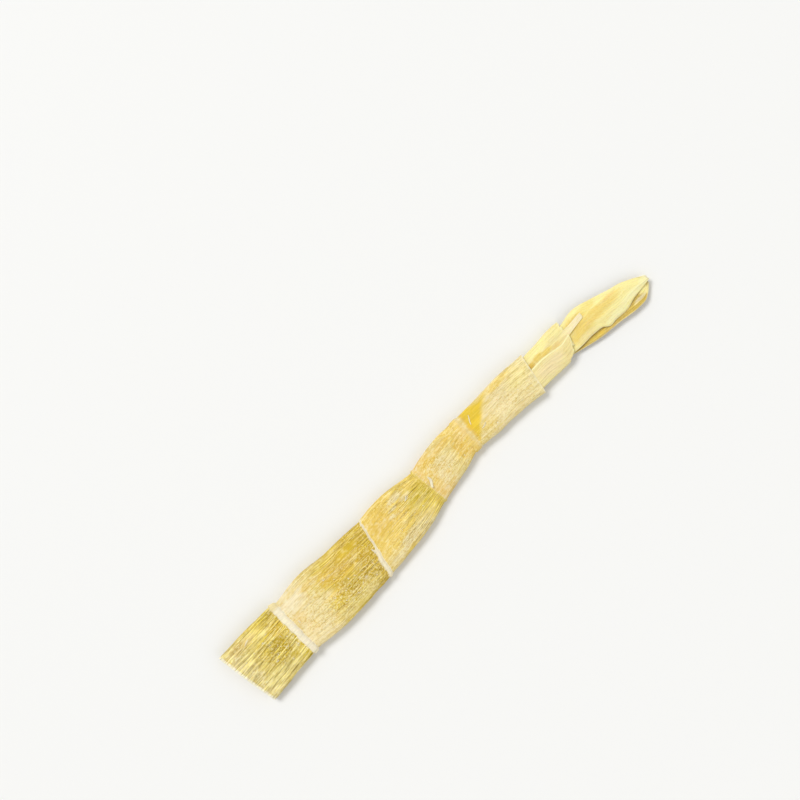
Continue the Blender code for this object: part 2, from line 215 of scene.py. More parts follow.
# Tip leaf and under leaf: (along, left edge, right edge) and (along, middle height, rise of each margin)
TIP_END = 300.0
TIP_LEAF_EDGES = (
    (226, 12, 0.6), (240, 13, -0.8), (249, 14.4, -1.4), (259.2, 15.9, -1.5), (264.5, 14.9, -2.4),
    (267.5, 13.9, -4.5), (272, 12.5, -4.5), (281.6, 9.4, -4.7), (286, 8.3, -3.4), (293, 5.1, -2.4),
    (TIP_END, 1.3, -1.6),
)
TIP_LEAF_RISE = (
    (226, 3.95, 0, 0), (249, 4.5, -0.5, -0.4), (262, 5.2, -1.5, -1.3), (275, 5.6, -2.2, -2.1),
    (290, 5.6, -1.6, -1.6), (TIP_END, 5.2, -0.2, -0.5),
)
UNDER_LEAF_EDGES = (
    (226, 12, 0.4), (240, 12.4, -0.7), (249, 12.4, -3), (258, 12, -5.2), (274, 8.4, -7),
    (285.1, 4.6, -8.5), (291.6, 2.4, -8), (295.6, 1, -5.6), (298.8, -0.3, -2.9),
)
UNDER_LEAF_RISE = (
    (226, 2.85, 0, 0), (249, 2.75, 0, 0.1), (260, 2.5, 0.2, 0.5), (275, 2.3, 0.2, 1.5),
    (290, 3.1, 0.1, 0.8), (298.8, 3.3, 0, 0.2),
)
LEAF_RIB = 0.07
RIB_SWAY = 0.7
RIB_SWAY_LENGTH = 9.0
LEAF_ROWS = 190
LEAF_COLUMNS = 84
LEAF_THICKNESS = 0.52
MARGIN_THIN = 0.35
SIDE_MARGIN = 0.12
END_MARGIN = 0.08
LEAF_HALF_GIRTH = 11.0

# How strongly each leaf's veins stand out, and how salty the leaves are
SHEATH_VEINS = 0.3
TIP_LEAF_VEINS = 0.14
UNDER_LEAF_VEINS = 0.6
LEAF_DUST = 0.25

# Veins: how far apart they are, how deep they are, and how dark the painted shade in their hollows is
VEIN_PITCH = 0.9
FINE_VEIN_PITCH = 0.42
VEIN_DEPTH = 0.09
FINE_VEIN_DEPTH = 0.035
VEIN_PAINTED_SHADE = 0.22

# Colours as they look in daylight, from 0 to 255
PALETTE = {
    "white": (248, 243, 226),
    "cream": (241, 231, 202),
    "pink": (240, 222, 172),
    "pale": (238, 222, 168),
    "straw": (232, 212, 146),
    "beige": (230, 213, 165),
    "sand": (222, 203, 130),
    "lemon": (248, 232, 158),
    "gold": (224, 196, 74),
    "mustard": (211, 185, 44),
    "honey": (202, 168, 12),
    "orange": (238, 206, 104),
    "amber": (226, 186, 70),
    "saffron": (230, 196, 54),
    "peach": (238, 206, 132),
    "ochre": (206, 176, 88),
    "painted_hollow_shade": (150, 122, 50),
    "wheat": (246, 228, 164),
    "butter": (252, 238, 164),
    "milk": (255, 247, 190),
    "rose": (244, 222, 176),
    "pearl": (255, 238, 200),
    "ash": (226, 214, 176),
}

# Each internode's colours just above its lower node, half way and below its upper node
INTERNODE_COLOURS = (
    ("sand", "gold", "mustard"),
    ("pink", "gold", "honey"),
    ("orange", "orange", "gold"),
    ("peach", "straw", "orange"),
    ("straw", "pink", "pale"),
)

# Where an internode's second and third colour come in and how softly, and how clouds and streaks shift it
LEVEL_STARTS = (0.15, 0.55)
LEVEL_CHANGE = 0.35
LEVEL_CLOUDS = 0.12
LEVEL_STREAKS = 0.08

# Colours of the streaks: (colour, strength on the first internode, on the others, gain)
STREAK_COLOURS = (("lemon", 0.75, 0, 1.3), ("pink", 0, 0.4, 1), ("orange", 0.1, 0.35, -1))

# How strongly streaks and mottles lighten and darken the stem, and how much more on the first internode and
# high up on the others
STREAK_SHADE = 0.05
MOTTLE_SHADE = 0.08
FIRST_CONTRAST = 1.9
CONTRAST_GROWTH = 0.7

# Flecks: their share on each internode, the strength of the pale and of the dark ones, and how they start
FLECK_SHARES = (0.6, 0.9, 0.8, 1.2, 0.8)
PALE_FLECKS = 0.42
DARK_FLECKS = 0.32
FLECK_GAIN = 1.4
FLECK_START = 0.1

# Painted shade in the grooves of each internode: how dark it is; and the pale lip of the cut end
GROOVE_PAINTED_SHADE_STRENGTH = (0.45, 0.45, 0.45, 0.2, 0.2)
CUT_LIP = 1.3
CUT_LIP_SOFT = 0.5

# How far the soft spots reach, in shares of their size, and how soft they are
SPOT_REACH = 1.25
SPOT_SOFT = 1.1

# Soft spots of colour on the upper face: (along, across, half length, half width, colour, strength)
STEM_SPOTS = (
    (8, 15, 22, 4, "straw", 0.8),
    (12, 14, 10, 3.4, "peach", 0.5),
    (14, 10.5, 10, 2.5, "lemon", 0.4),
    (3, 9, 4, 7, "pink", 0.5),
    (2, -12, 9, 8, "pale", 0.7),
    (16, -13.5, 18, 4.5, "straw", 0.6),
    (15, -10, 15, 4, "lemon", 0.8),
    (25, 1, 10, 7, "mustard", 0.7),
    (31, 2, 9, 15, "honey", 0.6),
    (30, 8, 6, 5, "amber", 0.4),
    (5, 2, 5, 12, "pink", 0.45),
    (31, -3, 3, 8, "sand", 0.6),
    (46, 13, 9, 6, "cream", 0.5),
    (57, 12.5, 6, 2, "amber", 0.75),
    (43, 3, 4, 4, "peach", 0.6),
    (46, -5, 5, 5, "peach", 0.45),
    (52, -12, 14, 4, "pink", 0.8),
    (62, -12, 9, 2.5, "orange", 0.6),
    (72, 8, 12, 7, "amber", 0.75),
    (67, -1, 7, 3, "amber", 0.55),
    (80, 15, 9, 2.5, "orange", 0.7),
    (86, 11, 12, 5, "saffron", 0.6),
    (78, -6.5, 15, 5, "honey", 0.55),
    (84, 3, 11, 6, "amber", 0.7),
    (74, -12, 20, 4, "sand", 0.7),
    (89, 2, 10, 15, "honey", 0.5),
    (104, -12, 8, 5, "beige", 0.8),
    (107, 9, 9, 8, "amber", 0.65),
    (117, 4, 7, 3.5, "amber", 0.5),
    (123, 12.6, 6, 2.2, "cream", 0.65),
    (127, 9.4, 5, 1.6, "cream", 0.6),
    (118, 9, 4, 1.2, "cream", 0.6),
    (114.6, 6.4, 2.6, 1.1, "pink", 0.7),
    (120, -9, 13, 4.5, "beige", 0.9),
    (134, 13.5, 8, 4, "orange", 0.85),
    (132, 3, 8, 7, "mustard", 0.9),
    (128, -6, 10, 3.5, "straw", 0.5),
    (149, 13, 5, 2.5, "orange", 0.9),
    (145, 6, 4, 8, "orange", 0.5),
    (149.5, 1, 4, 5, "pink", 0.7),
    (156, 6.9, 7, 4.5, "pink", 0.8),
    (160, 14.5, 7, 2.8, "amber", 0.7),
    (166.2, 7.5, 4.4, 6.8, "amber", 0.95),
    (150, 13, 9, 2.2, "amber", 0.6),
    (168, 2, 4, 3, "amber", 0.5),
    (158, -1, 9, 2.5, "straw", 0.8),
    (171, 12, 4, 4, "peach", 0.7),
    (187, 5, 6, 3, "orange", 0.75),
    (180, 1, 4, 2.5, "straw", 0.6),
    (197, 8, 12, 6, "pink", 0.85),
    (204, 17, 12, 2.2, "orange", 0.9),
    (206, -2, 12, 2, "straw", 0.6),
    (213, 12, 9, 6, "lemon", 0.75),
)

# A spot of the same kind on the rings: the dull left end of the first one
RING_SPOTS = ((36.8, 17.6, 5, 2.6, "straw", 0.7),)

# The bright patch above the fourth node: its corners (along, across), and how soft its edge is
PATCH_START = 175.2
PATCH_CORNERS = ((PATCH_START, -1.2), (201, 20.5), (PATCH_START, 20.5))
PATCH_EDGE = (1.5, 4.5)
PATCH_SOFTENING = 20.0
PATCH_WAVE = 1.0

# Colours that it changes to: (colour, where it begins, over what length, how far clouds shift it)
PATCH_CHANGES = (("saffron", 175.5, 4, 1), ("orange", 190, 8, 3))

# Where the skin is smooth, without grooves: (along, across, half length, half width, strength)
SMOOTH_SPOTS = (
    (182, 13, 11, 8, 0.8), (46, 14, 8, 5, 0.5), (84, 11, 9, 2.5, 0.9),
    (107, 8, 8, 7, 0.6),
)

# Where salt and scaly skin lie on it, as spots of the same kind
DUSTY_SPOTS = (
    (34, -3, 3, 13, 1),
    (21, -1, 12, 11, 0.9),
    (8, 12, 12, 7, 0.7),
    (5, -4, 8, 9, 0.8),
    (54, -3, 14, 14, 0.9),
    (72, -6, 16, 9, 1),
    (88, -7, 10, 8, 1),
    (92, 4, 6, 4, 0.7),
    (120, 8, 12, 7, 0.65),
    (112, -8, 16, 6, 0.8),
    (150, 5, 11, 12, 0.8),
    (163, 5, 10, 7, 0.6),
    (180, 1.5, 9, 4, 0.7),
    (198, 5, 14, 7, 0.75),
    (214, 6, 7, 10, 0.4),
)

# Creases, darkened with painted shade: how far they bend, and (start along, across, end along, across,
# depth, half width)
CREASE_BEND = 0.5
CREASES = (
    (67, -10, 84, -10.5, 0.35, 0.45),
    (72, 12.9, 84, 15.2, 0.4, 0.6),
    (56, 3, 63, 4.2, 0.2, 0.35),
    (118, -2, 131, -3.2, 0.25, 0.4),
    (126, 9, 137, 8, 0.25, 0.4),
    (152, 2.6, 164, 1.2, 0.25, 0.4),
    (190, 9, 205, 10.5, 0.22, 0.5),
    (201, 1, 219, -0.6, 0.25, 0.4),
    (206, 4.6, 219, 3.2, 0.2, 0.35),
    (14, -6, 28, -7.2, 0.3, 0.35),
    (6, 4, 17, 5.4, 0.3, 0.35),
)

# Soft spots of colour on the leaves, as on the stem
SHEATH_SPOTS = (
    (231, 14.5, 12, 2.8, "butter", 0.9),
    (232, 3, 11, 4.5, "rose", 0.75),
    # These amber, orange, peach and straw spots along the margin are partly the sheath's own orange and
    # partly painted shade beside its overlapping margin
    (222.5, 10.2, 3, 1.6, "amber", 0.9),
    (227.5, 10.9, 4.5, 1.6, "orange", 0.9),
    (234.5, 9.9, 4.5, 1.6, "orange", 0.9),
    (240.5, 8.7, 4.5, 1.5, "peach", 0.85),
    (245.5, 8.6, 3, 1.2, "straw", 0.7),
    (244, 3, 4, 4, "straw", 0.5),
    (245, 14, 5, 4, "butter", 0.7),
)
TIP_LEAF_SPOTS = (
    (255, 5, 9, 9, "orange", 0.85),
    (256, 0.5, 8, 2.5, "wheat", 0.8),
    (264, 11.5, 8, 2.6, "saffron", 0.35),
    (266, 7.8, 7.5, 1.3, "orange", 0.7),
    (264.5, 4.6, 8, 1.2, "peach", 0.7),
    (273, 5.2, 14, 3.2, "orange", 0.75),
    (277, 7.2, 6, 1, "peach", 0.6),
    (263, -2.6, 3, 0.9, "amber", 0.8),
    (270, 0, 8, 2.2, "straw", 0.3),
    (275, -2.8, 9, 2.2, "milk", 0.8),
    (287, -0.5, 10, 2, "milk", 0.8),
    (297.5, 0, 4, 2.6, "milk", 0.8),
)
UNDER_LEAF_SPOTS = (
    (258, -3.5, 8, 2, "gold", 0.35),
    (262.5, -3.6, 3, 1.2, "amber", 0.9),
    (283, -7.4, 10, 1.8, "gold", 0.4),
    (294.6, -3.8, 4.6, 2.6, "butter", 1),
    (289.4, -5.4, 4.4, 1.1, "ash", 0.85),
    (286, -5.9, 2, 0.7, "wheat", 0.7),
)

# The leaves beyond the sheath: (name, solid, outline, heights, ribs, colour, spots, seed, veins)
FREE_LEAVES = (
    ("tip_leaf_blade", "tip_leaf", TIP_LEAF_EDGES, TIP_LEAF_RISE, 4, "butter", TIP_LEAF_SPOTS, 200,
     TIP_LEAF_VEINS),
    ("under_leaf_blade", "under_leaf", UNDER_LEAF_EDGES, UNDER_LEAF_RISE, 3, "ochre", UNDER_LEAF_SPOTS, 300,
     UNDER_LEAF_VEINS),
)

# Salt on the upper face: (along, across, half length, half width, crystals)
SALT_PATCHES = (
    (20.9, 3.9, 0.9, 0.7, 16),
    (19.5, 7.6, 0.8, 0.5, 10),
    (28, -2.7, 1, 0.6, 13),
    (19.2, -4.1, 0.9, 0.9, 16),
    (25.1, -8.9, 0.8, 0.5, 9),
    (33.4, -0.7, 0.6, 1.2, 10),
    (32.8, -5.5, 0.6, 1.5, 10),
    (84, -6.4, 3, 0.8, 34),
    (90.2, -3.4, 0.9, 0.5, 9),
    (80.5, -4.6, 1.2, 0.6, 9),
    (69.6, -10.2, 0.8, 0.6, 9),
    (65.8, 8.7, 0.8, 0.5, 9),
    (42, 1.7, 0.8, 0.8, 12),
    (95.1, 0.3, 0.6, 0.6, 7),
    (62.5, -2.5, 1.4, 1, 12),
    (116.4, 5.8, 1, 0.4, 9),
    (127.6, 8.2, 1.6, 0.7, 10),
    (143.6, 4.6, 0.8, 0.8, 7),
    (22, 0, 13, 12, 60),
    (76, -5, 16, 9, 70),
    (112, 2, 20, 10, 24),
    (156, 6, 12, 8, 14),
    (200, 7, 15, 7, 12),
)
CRYSTAL_SIZE = (0.16, 0.5)
SALT_SEED = 23

# Curls of torn skin: (start along, across, end along, across, width, lift of the ends)
CURLS = (
    (142.9, 7.9, 141.6, 1.9, 1.5, 1),
    (180.9, 15.8, 178.7, 11, 0.5, 0.35),
    (181.6, 5.3, 185.1, 6.5, 0.5, 0.35),
    (125.4, 7.4, 128, 8.6, 0.7, 0.3),
    (95.6, 1.9, 95.1, -0.8, 1, 0.35),
    (12, 13.6, 15.4, 14.4, 0.5, 0.25),
)
CURL_THICKNESS = 0.22
CURL_LIFT = 0.16
CURL_STEPS = 12

# Materials: linear colours: painted shade that darkens grooves, a darker tone for blotches, a painted
# highlight that brightens crests, and the colours of scales and salt
FIBRE_GROOVE_PAINTED_SHADE = (0.46, 0.41, 0.13, 1.0)
FIBRE_CREST_PAINTED_HIGHLIGHT = (0.30, 0.29, 0.06, 1.0)
BLOTCH_SHADE = (0.80, 0.69, 0.34, 1.0)
SCALE_COLOUR = (0.93, 0.85, 0.43, 1.0)
SALT_COLOUR = (0.95, 0.91, 0.78, 1.0)
SALT_SHADE = (0.84, 0.78, 0.58, 1.0)
FLOOR_COLOUR = (0.88, 0.88, 0.86, 1.0)

# Where noise turns into grooves, crests, blotches, scales and specks: (from, to, first value, last value)
GROOVE_SPAN = (0.36, 0.5, 1.0, 0.0)
CREST_SPAN = (0.5, 0.64, 0.0, 1.0)
BLOTCH_SPAN = (0.38, 0.48, 1.0, 0.0)
SCALE_SPAN = (0.52, 0.62, 0.0, 1.0)
SPECK_SPAN = (0.66, 0.72, 0.0, 1.0)

# How strongly scales and specks cover the colour, how far scales rise, and the sizes and detail of noises
SCALE_COVER = 0.65
SPECK_COVER = 0.7
SCALE_RELIEF = 0.35
SCALE_NOISE = (1.5, 1.2, 2.5)
SPECK_NOISE = (0.45, 1.0)
STREAK_DETAIL = 5.0

# Painted shade in the slit mouth: how bright its lining is from inside out
MOUTH_PAINTED_SHADE = (0.5, 0.75, 1.15)

# Lights: (name, place, strength, width in degrees), the brightness of the room, and the floor's side
LIGHTS = (("key", (-0.12, 0.68, 1.0), 1.74, 24.0), ("fill", (0.35, -0.9, 0.9), 0.5, 50.0))
ROOM_STRENGTH = 0.5
FLOOR_SIZE = 8.0

# Sockets of a colour Mix node, by their order
MIX_FACTOR, MIX_UNDER, MIX_OVER, MIX_RESULT = 0, 6, 7, 2

# Camera: the photograph is square, this many pixels wide, and these are its scale and its middle
PHOTO_PIXELS = 800
MM_PER_PIXEL = 0.527
SHOOT_ANGLE = math.radians(45.2)
VIEWED_HEIGHT = 7.0
PHOTO_MIDDLE = (161.5, 46.7)
LENS = 85.0
SENSOR = 36.0


def follow(knots, at):
    """Reads a smooth curve through rows of (place, value, ...) at the given places."""
    table = np.array(knots, float)
    place, values = table[:, 0], table[:, 1:]
    slope = np.gradient(values, place, axis=0)
    first = np.clip(np.searchsorted(place, at) - 1, 0, len(place) - 2)
    span = (place[first + 1] - place[first])[:, None]
    share = np.clip((at - place[first])[:, None] / span, 0.0, 1.0)
    rest = 1.0 - share
    curve = values[first] * rest**2 * (1 + 2 * share) + values[first + 1] * share**2 * (3 - 2 * share)
    curve += span * share * rest * (slope[first] * rest - slope[first + 1] * share)
    return curve[:, 0] if curve.shape[1] == 1 else curve


def ease(share):
    """Runs from 0 to 1 with level ends."""
    share = np.clip(share, 0.0, 1.0)
    return share * share * (3 - 2 * share)


def waves(table, along, across, shift):
    """Adds up the waves of a table over the places along and across."""
    total = 0.0
    for size, per_along, per_across, start in table:
        total = total + size * np.sin(per_along * along + per_across * across + start + shift)
    return total


def noise(x, y, seed, wrap=NOISE_SIZE):
    """Smooth random heights from -1 to 1, a bump for each unit, which repeat after wrap units of x."""
    table = np.random.default_rng(seed).uniform(-1.0, 1.0, (wrap, NOISE_SIZE))
    x, y = np.broadcast_arrays(x, y)
    left, low = np.floor(x).astype(int), np.floor(y).astype(int)
    u, v = ease(x - left), ease(y - low)
    near, far = left % wrap, (left + 1) % wrap
    under, over = low % NOISE_SIZE, (low + 1) % NOISE_SIZE
    bottom = table[near, under] * (1 - u) + table[far, under] * u
    top = table[near, over] * (1 - u) + table[far, over] * u
    return bottom * (1 - v) + top * v


def round_noise(layers, turn, along, shift=0):
    """Adds up layers of noise that close up round the stem, their seeds moved by a shift."""
    return sum(
        size * noise(turn * count, along / length, seed + shift, count)
        for size, count, length, seed in layers
    )


def internode_spans():
    """Start and end of each internode, between one ring and the next."""
    starts = [0.0] + [middle + length / 2 for middle, length, _, _ in NODE_RINGS]
    ends = [middle - length / 2 for middle, length, _, _ in NODE_RINGS] + [STEM_END]
    return list(zip(starts, ends))


def fine_rows():
    """Rows along the stem, close together where a ring begins or ends."""
    rows = [np.linspace(0.0, STEM_END, round(STEM_END / STEM_ROW) + 1), np.array(END_ROWS)]
    for middle, length, _, _ in NODE_RINGS:
        for corner in (middle - length / 2, middle + length / 2):
            rows.append(np.arange(corner - RING_ROW_REACH, corner + RING_ROW_REACH, RING_ROW))
    places = np.unique(np.round(np.concatenate(rows), 2))
    return places[np.concatenate(([True], np.diff(places) > LEAST_ROW))]


def stem_edges(along):
    """Left and right edge of the stem at each place along it."""
    corners = np.ravel(internode_spans())
    ends = np.array([knots[i][1:] for knots in INTERNODE_EDGES for i in (0, -1)])
    edges = np.stack([np.interp(along, corners, ends[:, side]) for side in (0, 1)], axis=1)
    for (start, end), knots in zip(internode_spans(), INTERNODE_EDGES):
        inside = (along >= start) & (along <= end)
        edges[inside] = follow(knots, (along[inside] - start) / (end - start))
    return edges


def stem_lean(along):
    """How far along a row leans for each millimetre to the left."""
    places = [0.0] + [ring[0] for ring in NODE_RINGS] + [STEM_END]
    leans = [CUT_LEAN] + [ring[3] for ring in NODE_RINGS] + [RIM_LEAN]
    return np.interp(along, places, leans)


def stem_section(along):
    """Half width, middle, half height and middle height of the stem's section at each place along it."""
    left, right = stem_edges(along).T
    thickness = follow(STEM_THICKNESS, along)
    middle_height = follow(STEM_UNDERSIDE, along) + thickness / 2
    section = (left - right) / 2, (left + right) / 2, thickness / 2, middle_height
    return (values[:, None] for values in section)


def ring_places(along, across):
    """How far each point lies above each ring's lower edge and below its upper one, in millimetres."""
    for (middle, length, _, _), (place, shift, left_share, right_share) in zip(NODE_RINGS, RING_STEPS):
        right = ease((place - across) / RING_STEP_TURN)
        half = length / 2 * (left_share * (1 - right) + right_share * right)
        centre = middle - shift * right
        yield along - centre + half, centre + half - along


def ring_rise(along, across):
    """Height of the node rings and of the flared rim above the stem."""
    rise = RIM_FLARE * ease((along - STEM_END + RIM_FLARE_LENGTH) / RIM_FLARE_LENGTH)
    for ring, (above, below) in zip(NODE_RINGS, ring_places(along, across)):
        rise = rise + ring[2] * ease(np.minimum(above, RING_UPPER_SLOPE * below) / RING_EDGE)
    return rise


def on_rim(along):
    """1 on the rim's pale band, and 0 below it."""
    return ease((along - STEM_END + RIM_BAND) / RIM_BAND_SOFT)


def on_ring(along, across):
    """1 on a node ring and on the rim, and 0 off them."""
    mask = on_rim(along)
    for above, below in ring_places(along, across):
        mask = mask + ease((np.minimum(above, below) + RING_SPREAD) / (2 * RING_SPREAD))
    return np.clip(mask, 0.0, 1.0)


def ridges(along, across, side):
    """Lengthwise ridges, which keep their places across an internode and grow towards its upper node."""
    relief = np.zeros(np.broadcast(along, across).shape)
    fade = 1.0 - np.abs(across) ** 10
    for number, (start, end) in enumerate(internode_spans()):
        count, height, low_share = INTERNODE_RIDGES[number]
        share = (along - start) / (end - start)
        inside = (share > 0.0) & (share < 1.0)
        strength = RIDGE_SHARE * height * (low_share + (1 - low_share) * ease(share * RIDGE_GROWTH))
        for from_end in (1.0 - share, share):
            strength = strength * ease(from_end * (end - start) / RIDGE_END)
        shift = INTERNODE_SHIFT * number + side
        phase = math.pi * count * across + waves(RIDGE_WANDER, along, across, shift)
        swing = 1.0 + waves(RIDGE_SWING, along, across, shift)
        relief += np.where(inside, strength * swing * np.sin(phase) * fade, 0.0)
    return relief


def section_place(angle):
    """Place on a pressed section in a direction: shares of its half width and of its half height."""
    return (np.sign(part) * np.abs(part) ** (2 / SECTION_POWER) for part in (np.cos(angle), np.sin(angle)))


def section_height(across):
    """Height of a pressed section at a share of its half width, as a share of its half height."""
    return (1.0 - np.abs(across) ** SECTION_POWER) ** (1.0 / SECTION_POWER)


def run_length(y, z):
    """Length of a line through points up to each of them."""
    return np.concatenate(([0.0], np.cumsum(np.hypot(np.diff(y), np.diff(z)))))


def section_loop():
    """Even places round a pressed section, closer together above than below: shares of its half width,
    1 above and -1 below, and the share of the way round."""
    wide, high = section_place(np.linspace(math.pi, 0.0, SECTION_SAMPLES))
    length = run_length(TYPICAL_HALF_WIDTH * wide, TYPICAL_HALF_HEIGHT * high)
    over, under = ((np.arange(count) + 0.5) / count for count in (UPPER_COLUMNS, LOWER_COLUMNS))
    across = np.interp(np.concatenate((over, 1 - under)) * length[-1], length, wide)
    side = np.concatenate((np.ones(UPPER_COLUMNS), -np.ones(LOWER_COLUMNS)))
    return across, side, np.concatenate((over, 1 + under)) / 2


def press_flat(along, across, height, below):
    """Presses the underside on to the resting plane round the middle of the weight."""
    far = ((along - REST_ALONG) / REST_HALF_LENGTH) ** 2 + (across / REST_HALF_WIDTH) ** 2
    flat = np.clip(REST_PRESS * (1.0 - far), 0.0, 1.0)
    pressed = np.maximum(height, LEAST_LIFT) * (1.0 - flat)
    return np.where(below, pressed, height)


def growth(along):
    """0 just above a node and 1 just below the next one, with the number of the internode."""
    share = np.zeros(np.shape(along))
    number = np.zeros(np.shape(along), int)
    for i, (start, end) in enumerate(internode_spans()):
        reached = along >= start - NODE_LEAD
        number = np.where(reached, i, number)
        share = np.where(reached, np.clip((along - start) / (end - start), 0, 1), share)
    return share, number


def fibres(along, turn):
    """Fine lengthwise grooves of the dried flesh. Gives their depth in millimetres, how deep each point lies
    in a groove, from 0 to 1, and how strongly the finer fibres show in the material, as bump, as painted
    shade in their grooves and as painted highlight on their crests."""
    share, number = growth(along)
    risen = ease(share * GROOVE_GROWTH)
    depth, hollow, shown = (np.zeros(np.broadcast(along, turn).shape) for _ in range(3))
    for i, (count, deep, low_share, fine_share, low_shown, high_shown) in enumerate(INTERNODE_FIBRES):
        at = turn + round_noise(GROOVE_WANDER, turn, along, i)
        main = noise(at * count, along / GROOVE_LENGTH, 10 + i, count)
        fine = noise(at * count * 2, along / FINE_GROOVE_LENGTH, 20 + i, count * 2)
        groove = (1.0 - np.abs(main)) ** 6
        thin = fine_share * (1.0 - np.abs(fine)) ** 5
        patchy = 0.65 + round_noise(GROOVE_PATCHES, turn, along, i)
        strength = (low_share + (1 - low_share) * risen) * patchy
        here = number == i
        depth = np.where(here, -deep * strength * (groove + 0.45 * thin), depth)
        hollow = np.where(here, np.clip(strength * (0.8 * groove + 0.5 * thin), 0, 1), hollow)
        shown = np.where(here, (low_shown + (high_shown - low_shown) * risen) * (0.7 + 0.5 * patchy), shown)
    return depth, hollow, shown


def in_spot(along, across, spot, sway):
    """How deep each point lies in a soft spot, from 0 to 1, its edge drawn out by a sway."""
    place, aside, half_length, half_width = spot
    far = ((along - place) / half_length) ** 2 + ((across - aside) / half_width) ** 2
    return ease((SPOT_REACH - far + 0.5 * sway) / SPOT_SOFT)


def spot_mask(spots, along, across, sway):
    """How deep each point lies in any of a list of soft spots, from 0 to their strength."""
    mask = np.zeros(np.broadcast(along, across).shape)
    for *spot, strength in spots:
        mask = np.maximum(mask, strength * in_spot(along, across, spot, sway))
    return mask


def creases(along, across):
    """Depth of the creases in millimetres, and how deep each point lies in one, from 0 to 1."""
    depth = np.zeros(np.broadcast(along, across).shape)
    hollow = np.zeros(depth.shape)
    bend = CREASE_BEND * noise(along / 3.5, across / 9.0, 95)
    for start, start_side, end, end_side, deep, half_width in CREASES:
        share = (along - start) / (end - start)
        line = start_side + (end_side - start_side) * share + bend
        profile = ease(1.0 - np.abs(across - line) / half_width) * ease(4 * np.minimum(share, 1 - share))
        depth = depth - deep * profile
        hollow = np.maximum(hollow, profile)
    return depth, hollow


def colour(name):
    """A colour of the palette as linear values."""
    share = np.array(PALETTE[name]) / 255.0
    return np.where(share <= 0.04045, share / 12.92, ((share + 0.055) / 1.055) ** 2.4)


def plain(name, shape):
    """An array of points that all have one colour of the palette."""
    return np.broadcast_to(colour(name), tuple(shape) + (3,))


def with_fibre_shading_and_dust(tint, fibre_shading, dust):
    """Adds to colours how strongly fibres, with their bump, painted shade and painted highlight, and salty
    scales show at each point.
    """
    more = [np.broadcast_to(part, tint.shape[:-1])[..., None] for part in (fibre_shading, dust)]
    return np.clip(np.concatenate([tint] + more, axis=-1), 0.0, 1.0)


def blend(tint, other, amount):
    """Mixes other colours into an array of colours by an amount for each point."""
    amount = np.clip(amount, 0.0, 1.0)[..., None]
    return tint * (1 - amount) + other * amount


def add_colour(tint, name, amount):
    """Mixes a colour of the palette into an array of colours by an amount for each point."""
    return blend(tint, colour(name), amount)


def add_spots(tint, spots, along, across, sway):
    """Lays soft spots of colour over a face, their edges drawn out by a sway."""
    for *spot, name, strength in spots:
        tint = add_colour(tint, name, strength * in_spot(along, across, spot, sway))
    return tint


def lay_patch(tint, along, across, streak, cloud):
    """Paints the bright patch: golden, orange at its ends, with a crisp wavy edge that gets softer upwards.
    Gives how strongly it covers each point too."""
    inward = np.full(np.broadcast(along, across).shape, 99.0)
    corners = np.array(PATCH_CORNERS)
    for here, there in zip(corners, np.roll(corners, -1, axis=0)):
        ahead = (there - here) / np.hypot(*(there - here))
        inward = np.minimum(inward, (across - here[1]) * ahead[0] - (along - here[0]) * ahead[1])
    soft = np.interp(along, (PATCH_START, PATCH_START + PATCH_SOFTENING), PATCH_EDGE)
    wave = PATCH_WAVE * noise(along / 3.5, across / 9.0, 96) + 0.3 * streak
    golden = plain("amber", inward.shape)
    for name, start, length, sway in PATCH_CHANGES:
        golden = add_colour(golden, name, ease((along - start + sway * cloud) / length))
    golden = golden * (1 + 0.04 * streak + 0.05 * cloud)[..., None]
    cover = ease((inward + wave) / soft)
    return blend(tint, golden, cover), cover


def paint_rings(tint, along, across, grain):
    """Lays each ring's own colour over the stem's, with a crisp or a soft edge on either side. Gives how
    strongly the rings cover each point too."""
    cover = RIM_PALENESS * on_rim(along)
    tint = blend(tint, colour("cream") * grain[..., None], cover)
    for (name, strength, low_soft, high_soft), (above, below) in zip(RING_LOOKS, ring_places(along, across)):
        mask = strength * ease((above + RING_SPREAD) / low_soft) * ease((below + RING_SPREAD) / high_soft)
        tint = blend(tint, colour(name) * grain[..., None], mask)
        cover = np.maximum(cover, mask)
    return tint, cover


